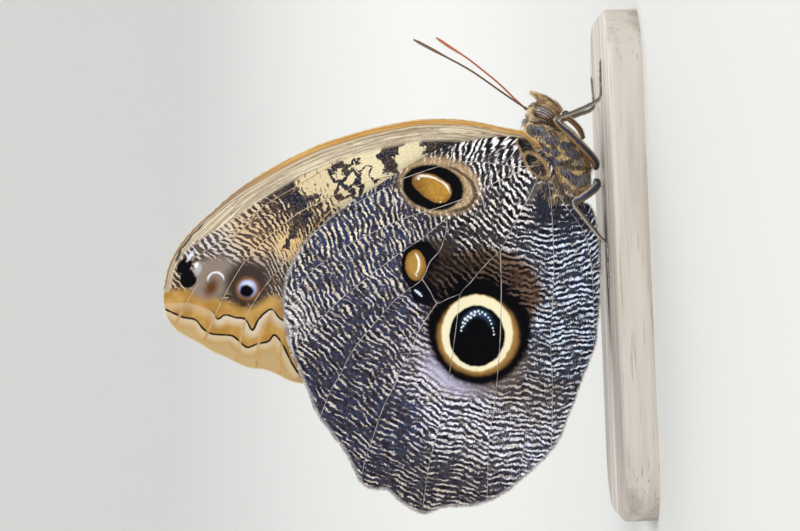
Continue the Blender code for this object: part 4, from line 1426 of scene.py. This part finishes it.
def legLie(rows, side):
    # Scales lie along the leg, with none under the foot
    places = rows[:, :3] * (1, side, 1)
    runs = np.gradient(places, axis=0)
    tree = KDTree(len(places))
    for k, spot in enumerate(places):
        tree.insert(spot, k)
    tree.balance()

    def fields(spots, normals):
        index = np.array([tree.find(spot)[1] for spot in spots])
        weight = (spots[:, 2] + 0.2 * normals[:, 2] > 0.16).astype(float)
        return runs[index] / np.linalg.norm(runs[index], axis=1)[:, None], weight, np.ones(len(spots))

    return fields


def makeLegs(tuft):
    for word, form in legs.items():
        side = -1 if word.endswith("right") else 1
        name, node = word.replace(" ", "-"), word.replace(" ", "_")
        rows, steps, knee, ankle = legRows(form["route"])
        skin, coat = [legMaterial(name + end, knee, ankle, bool(end), form["tone"]) for end in ("", " coat")]
        leg = makePiece(name + "-skin", sweep(rows, side, legForm["sides"]), skin, [node])
        ground = coatGround(leg, (-99.0, 99.0), legLie(rows, side))
        layCoat(name + "-coat", ground, legForm["coat"], tuft, coat, [node])
        if form["route"] is not foreleg:
            horn = plainMaterial("spines", (0.10, 0.06, 0.035), 0.35)
            makePiece(name + "-spines", legSpines(rows, steps, knee, ankle, side), horn, [node])
        print(word, "points", len(leg.data.vertices))


# Antennae. Both are one rust red-brown: the near right one's darker tones are painted shade, the far left
# one's orange-red tones a painted backlight
antennaForm = dict(gap=0.06, sides=12, half=0.185, club=0.10, tip=0.12, ring=8, band=0.48)
antennae = {
    # Darker tones: painted shade on the near antenna
    "right": dict(tone=(0.13, 0.060, 0.032), pale=(0.30, 0.15, 0.08), route=[
        (17.1, 0.9, 13.4), (18.9, 2.0, 16.0), (20.6, 3.3, 18.4), (24.2, 5.4, 23.4), (27.0, 7.6, 28.3),
        (29.9, 9.4, 33.5)]),
    # Orange-red tones: painted backlight on the far antenna
    "left": dict(tone=(0.40, 0.085, 0.035), pale=(0.56, 0.17, 0.07), route=[
        (17.1, 0.9, 13.4), (19.4, 3.0, 15.5), (22.3, 5.6, 18.0), (25.1, 8.6, 20.8), (27.8, 11.4, 23.7),
        (30.1, 14.2, 26.6), (32.1, 16.8, 29.0)]),
}


def antennaMaterial(name, tone, pale):
    material, wire = startMaterial(name)
    along = attribute(wire, "along")
    # The tones passed in carry painted light: shade on the near antenna, backlight on the far one
    colour = lay(tone, pale, wire.math("SINE", along * (fullTurn / antennaForm["band"])), 0.4, 0.9, 0.6)
    finishMaterial(wire, lay(colour, pale, along, 0.0, 30.0, 0.4), 0.45)
    return material


def makeAntennae():
    for word, form in antennae.items():
        track = evenTrack(form["route"], antennaForm["gap"])
        share = np.linspace(0, 1, len(track))
        half = antennaForm["half"] + antennaForm["club"] * fade(share, 0.70, 0.86)
        half -= antennaForm["tip"] * fade(share, 0.95, 1.0)
        half *= 1 - 0.10 * np.maximum(np.cos(np.arange(len(track)) * fullTurn / antennaForm["ring"]), 0) ** 2
        half *= np.where(share < 0.025, 1.35, 1.0)
        work = sweep(np.column_stack([track, half]), -1 if word == "right" else 1, antennaForm["sides"])
        material = antennaMaterial("antenna " + word, form["tone"], form["pale"])
        makePiece("antenna-" + word + "-ringed", work, material, ["antenna_" + word])
        print("antenna", word, "rings", len(track))


# The coil's radius and half thickness go from the first value to the second
tongueForm = dict(turns=2.4, steps=150, sides=12, start=-1.2, middle=(15.9, 6.3), radius=(0.78, 0.20),
                  half=(0.15, 0.09))


def makeProboscis():
    # A coil that narrows inwards, ringed by a slight waist at every third row
    share = np.linspace(0, 1, tongueForm["steps"] + 1)
    angle = tongueForm["start"] - fullTurn * tongueForm["turns"] * share
    radius, half = [one + (two - one) * share for one, two in (tongueForm["radius"], tongueForm["half"])]
    half *= 1 - 0.08 * (np.arange(len(half)) % 3 == 0)
    x, height = tongueForm["middle"]
    rows = np.column_stack([x + radius * np.cos(angle), 0 * share, height + radius * np.sin(angle), half])
    tongue = plainMaterial("tongue", (0.12, 0.06, 0.03), 0.35)
    makePiece("tongue-coil", sweep(rows, 1, tongueForm["sides"]), tongue, ["proboscis"])
    print("proboscis rings", len(rows))


def woodMaterial():
    material, wire = startMaterial("pale wood")
    place = placeOn(wire)
    grain = noise(jitter(stretched(place, (9.0, 160.0, 160.0)), 0.8, 0.5), 1.0, 5.0, 0.6)
    fine = noise(stretched(place, (90.0, 2600.0, 2600.0)), 1.0, 2.0)
    colour = lay((0.40, 0.34, 0.29), (0.66, 0.61, 0.55), grain, 0.35, 0.65)
    colour = lay(colour, (0.24, 0.17, 0.11), fine, 0.58, 0.72, 0.5)
    finishMaterial(wire, colour, 0.55, 0.3, bump(fine + grain, 0.2, 0.0001))
    return material


# Studio: a floor that curves up into a wall all round, and four soft lamps. Sizes in metres
studio = dict(floorRadius=0.5, wall=0.8, curve=1.8, curveSteps=12, sides=96, paper=(0.72, 0.72, 0.70),
              world=(0.95, 0.97, 1.0, 1), worldLight=0.62)
lamps = {
    "key": dict(place=(0.45, -0.75, 0.75), size=0.6, power=7.0, colour=(1.0, 0.98, 0.95)),
    "fill": dict(place=(-0.7, -0.5, 0.4), size=0.6, power=2.2, colour=(0.93, 0.97, 1.0)),
    "back": dict(place=(0.2, 0.8, 0.7), size=0.6, power=3.0, colour=(1.0, 1.0, 1.0)),
    "wall": dict(place=(0.0, 0.9, 1.7), size=1.4, power=9.0, colour=(1.0, 1.0, 1.0), aim=(0.0, 2.1, 0.45)),
}


def makeStudio():
    curve, sides = studio["curve"], studio["sides"]
    profile = [(studio["floorRadius"], 0.0)]
    for angle in math.pi / 2 * np.arange(1, studio["curveSteps"] + 1) / studio["curveSteps"]:
        profile.append((studio["floorRadius"] + curve * math.sin(angle), curve * (1 - math.cos(angle))))
    profile.append((studio["floorRadius"] + curve, curve + studio["wall"]))
    spots = [(0, 0, 0)]
    for radius, height in profile:
        spots += [(radius * math.cos(angle), radius * math.sin(angle), height)
                  for angle in fullTurn * np.arange(sides) / sides]
    faces = []
    for s in range(sides):
        after = (s + 1) % sides
        faces.append((0, 1 + s, 1 + after))
        for start in range(1, sides * (len(profile) - 1), sides):
            faces.append((start + s, start + sides + s, start + sides + after, start + after))
    mesh = bpy.data.meshes.new("studio floor")
    mesh.from_pydata(spots, [], faces)
    mesh.shade_smooth()
    mesh.materials.append(plainMaterial("studio paper", studio["paper"], 0.9))
    link("studio-floor", mesh)

    world = bpy.data.worlds.new("studio light")
    bpy.context.scene.world = world
    world.use_nodes = True
    background = world.node_tree.nodes["Background"].inputs
    background["Color"].default_value = studio["world"]
    background["Strength"].default_value = studio["worldLight"]
    for name, lamp in lamps.items():
        data = bpy.data.lights.new(name, "AREA")
        data.energy = lamp["power"]
        data.size = lamp["size"]
        data.color = lamp["colour"]
        light = link(name, data)
        light.location = lamp["place"]
        aim = Vector(lamp.get("aim", (0, 0, 0.04))) - light.location
        light.rotation_euler = aim.to_track_quat("-Z", "Y").to_euler()
    print("studio lamps", len(lamps))


def makeCamera():
    scene = bpy.context.scene
    scene.view_settings.view_transform = "Standard"
    lean = view["lean"]
    right, up = Vector((-math.sin(lean), 0, -math.cos(lean))), Vector((math.cos(lean), 0, -math.sin(lean)))
    turned = Matrix((right, up, Vector((0, -1, 0)))).transposed().to_4x4()
    x, z = fromPhoto(*view["centre"])
    data = bpy.data.cameras.new("camera")
    data.sensor_width = view["sensor"]
    data.lens = view["sensor"] * (view["distance"] - wingForm["hindOut"]) / (view["width"] * view["pixel"])
    data.clip_start = 0.01
    scene.camera = link("camera", data)
    scene.camera.matrix_world = Matrix.Translation(Vector((x, -view["distance"], z)) * mm) @ turned


makeCamera()
makeStudio()
hairScale = link("hair-scale", tuftMesh())
makeWings(hairScale)
makeBody(hairScale)
makeEyes()
makeLegs(hairScale)
bpy.data.objects.remove(hairScale)
makeAntennae()
makeProboscis()
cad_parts["stand_base"].material_slots[0].material = woodMaterial()
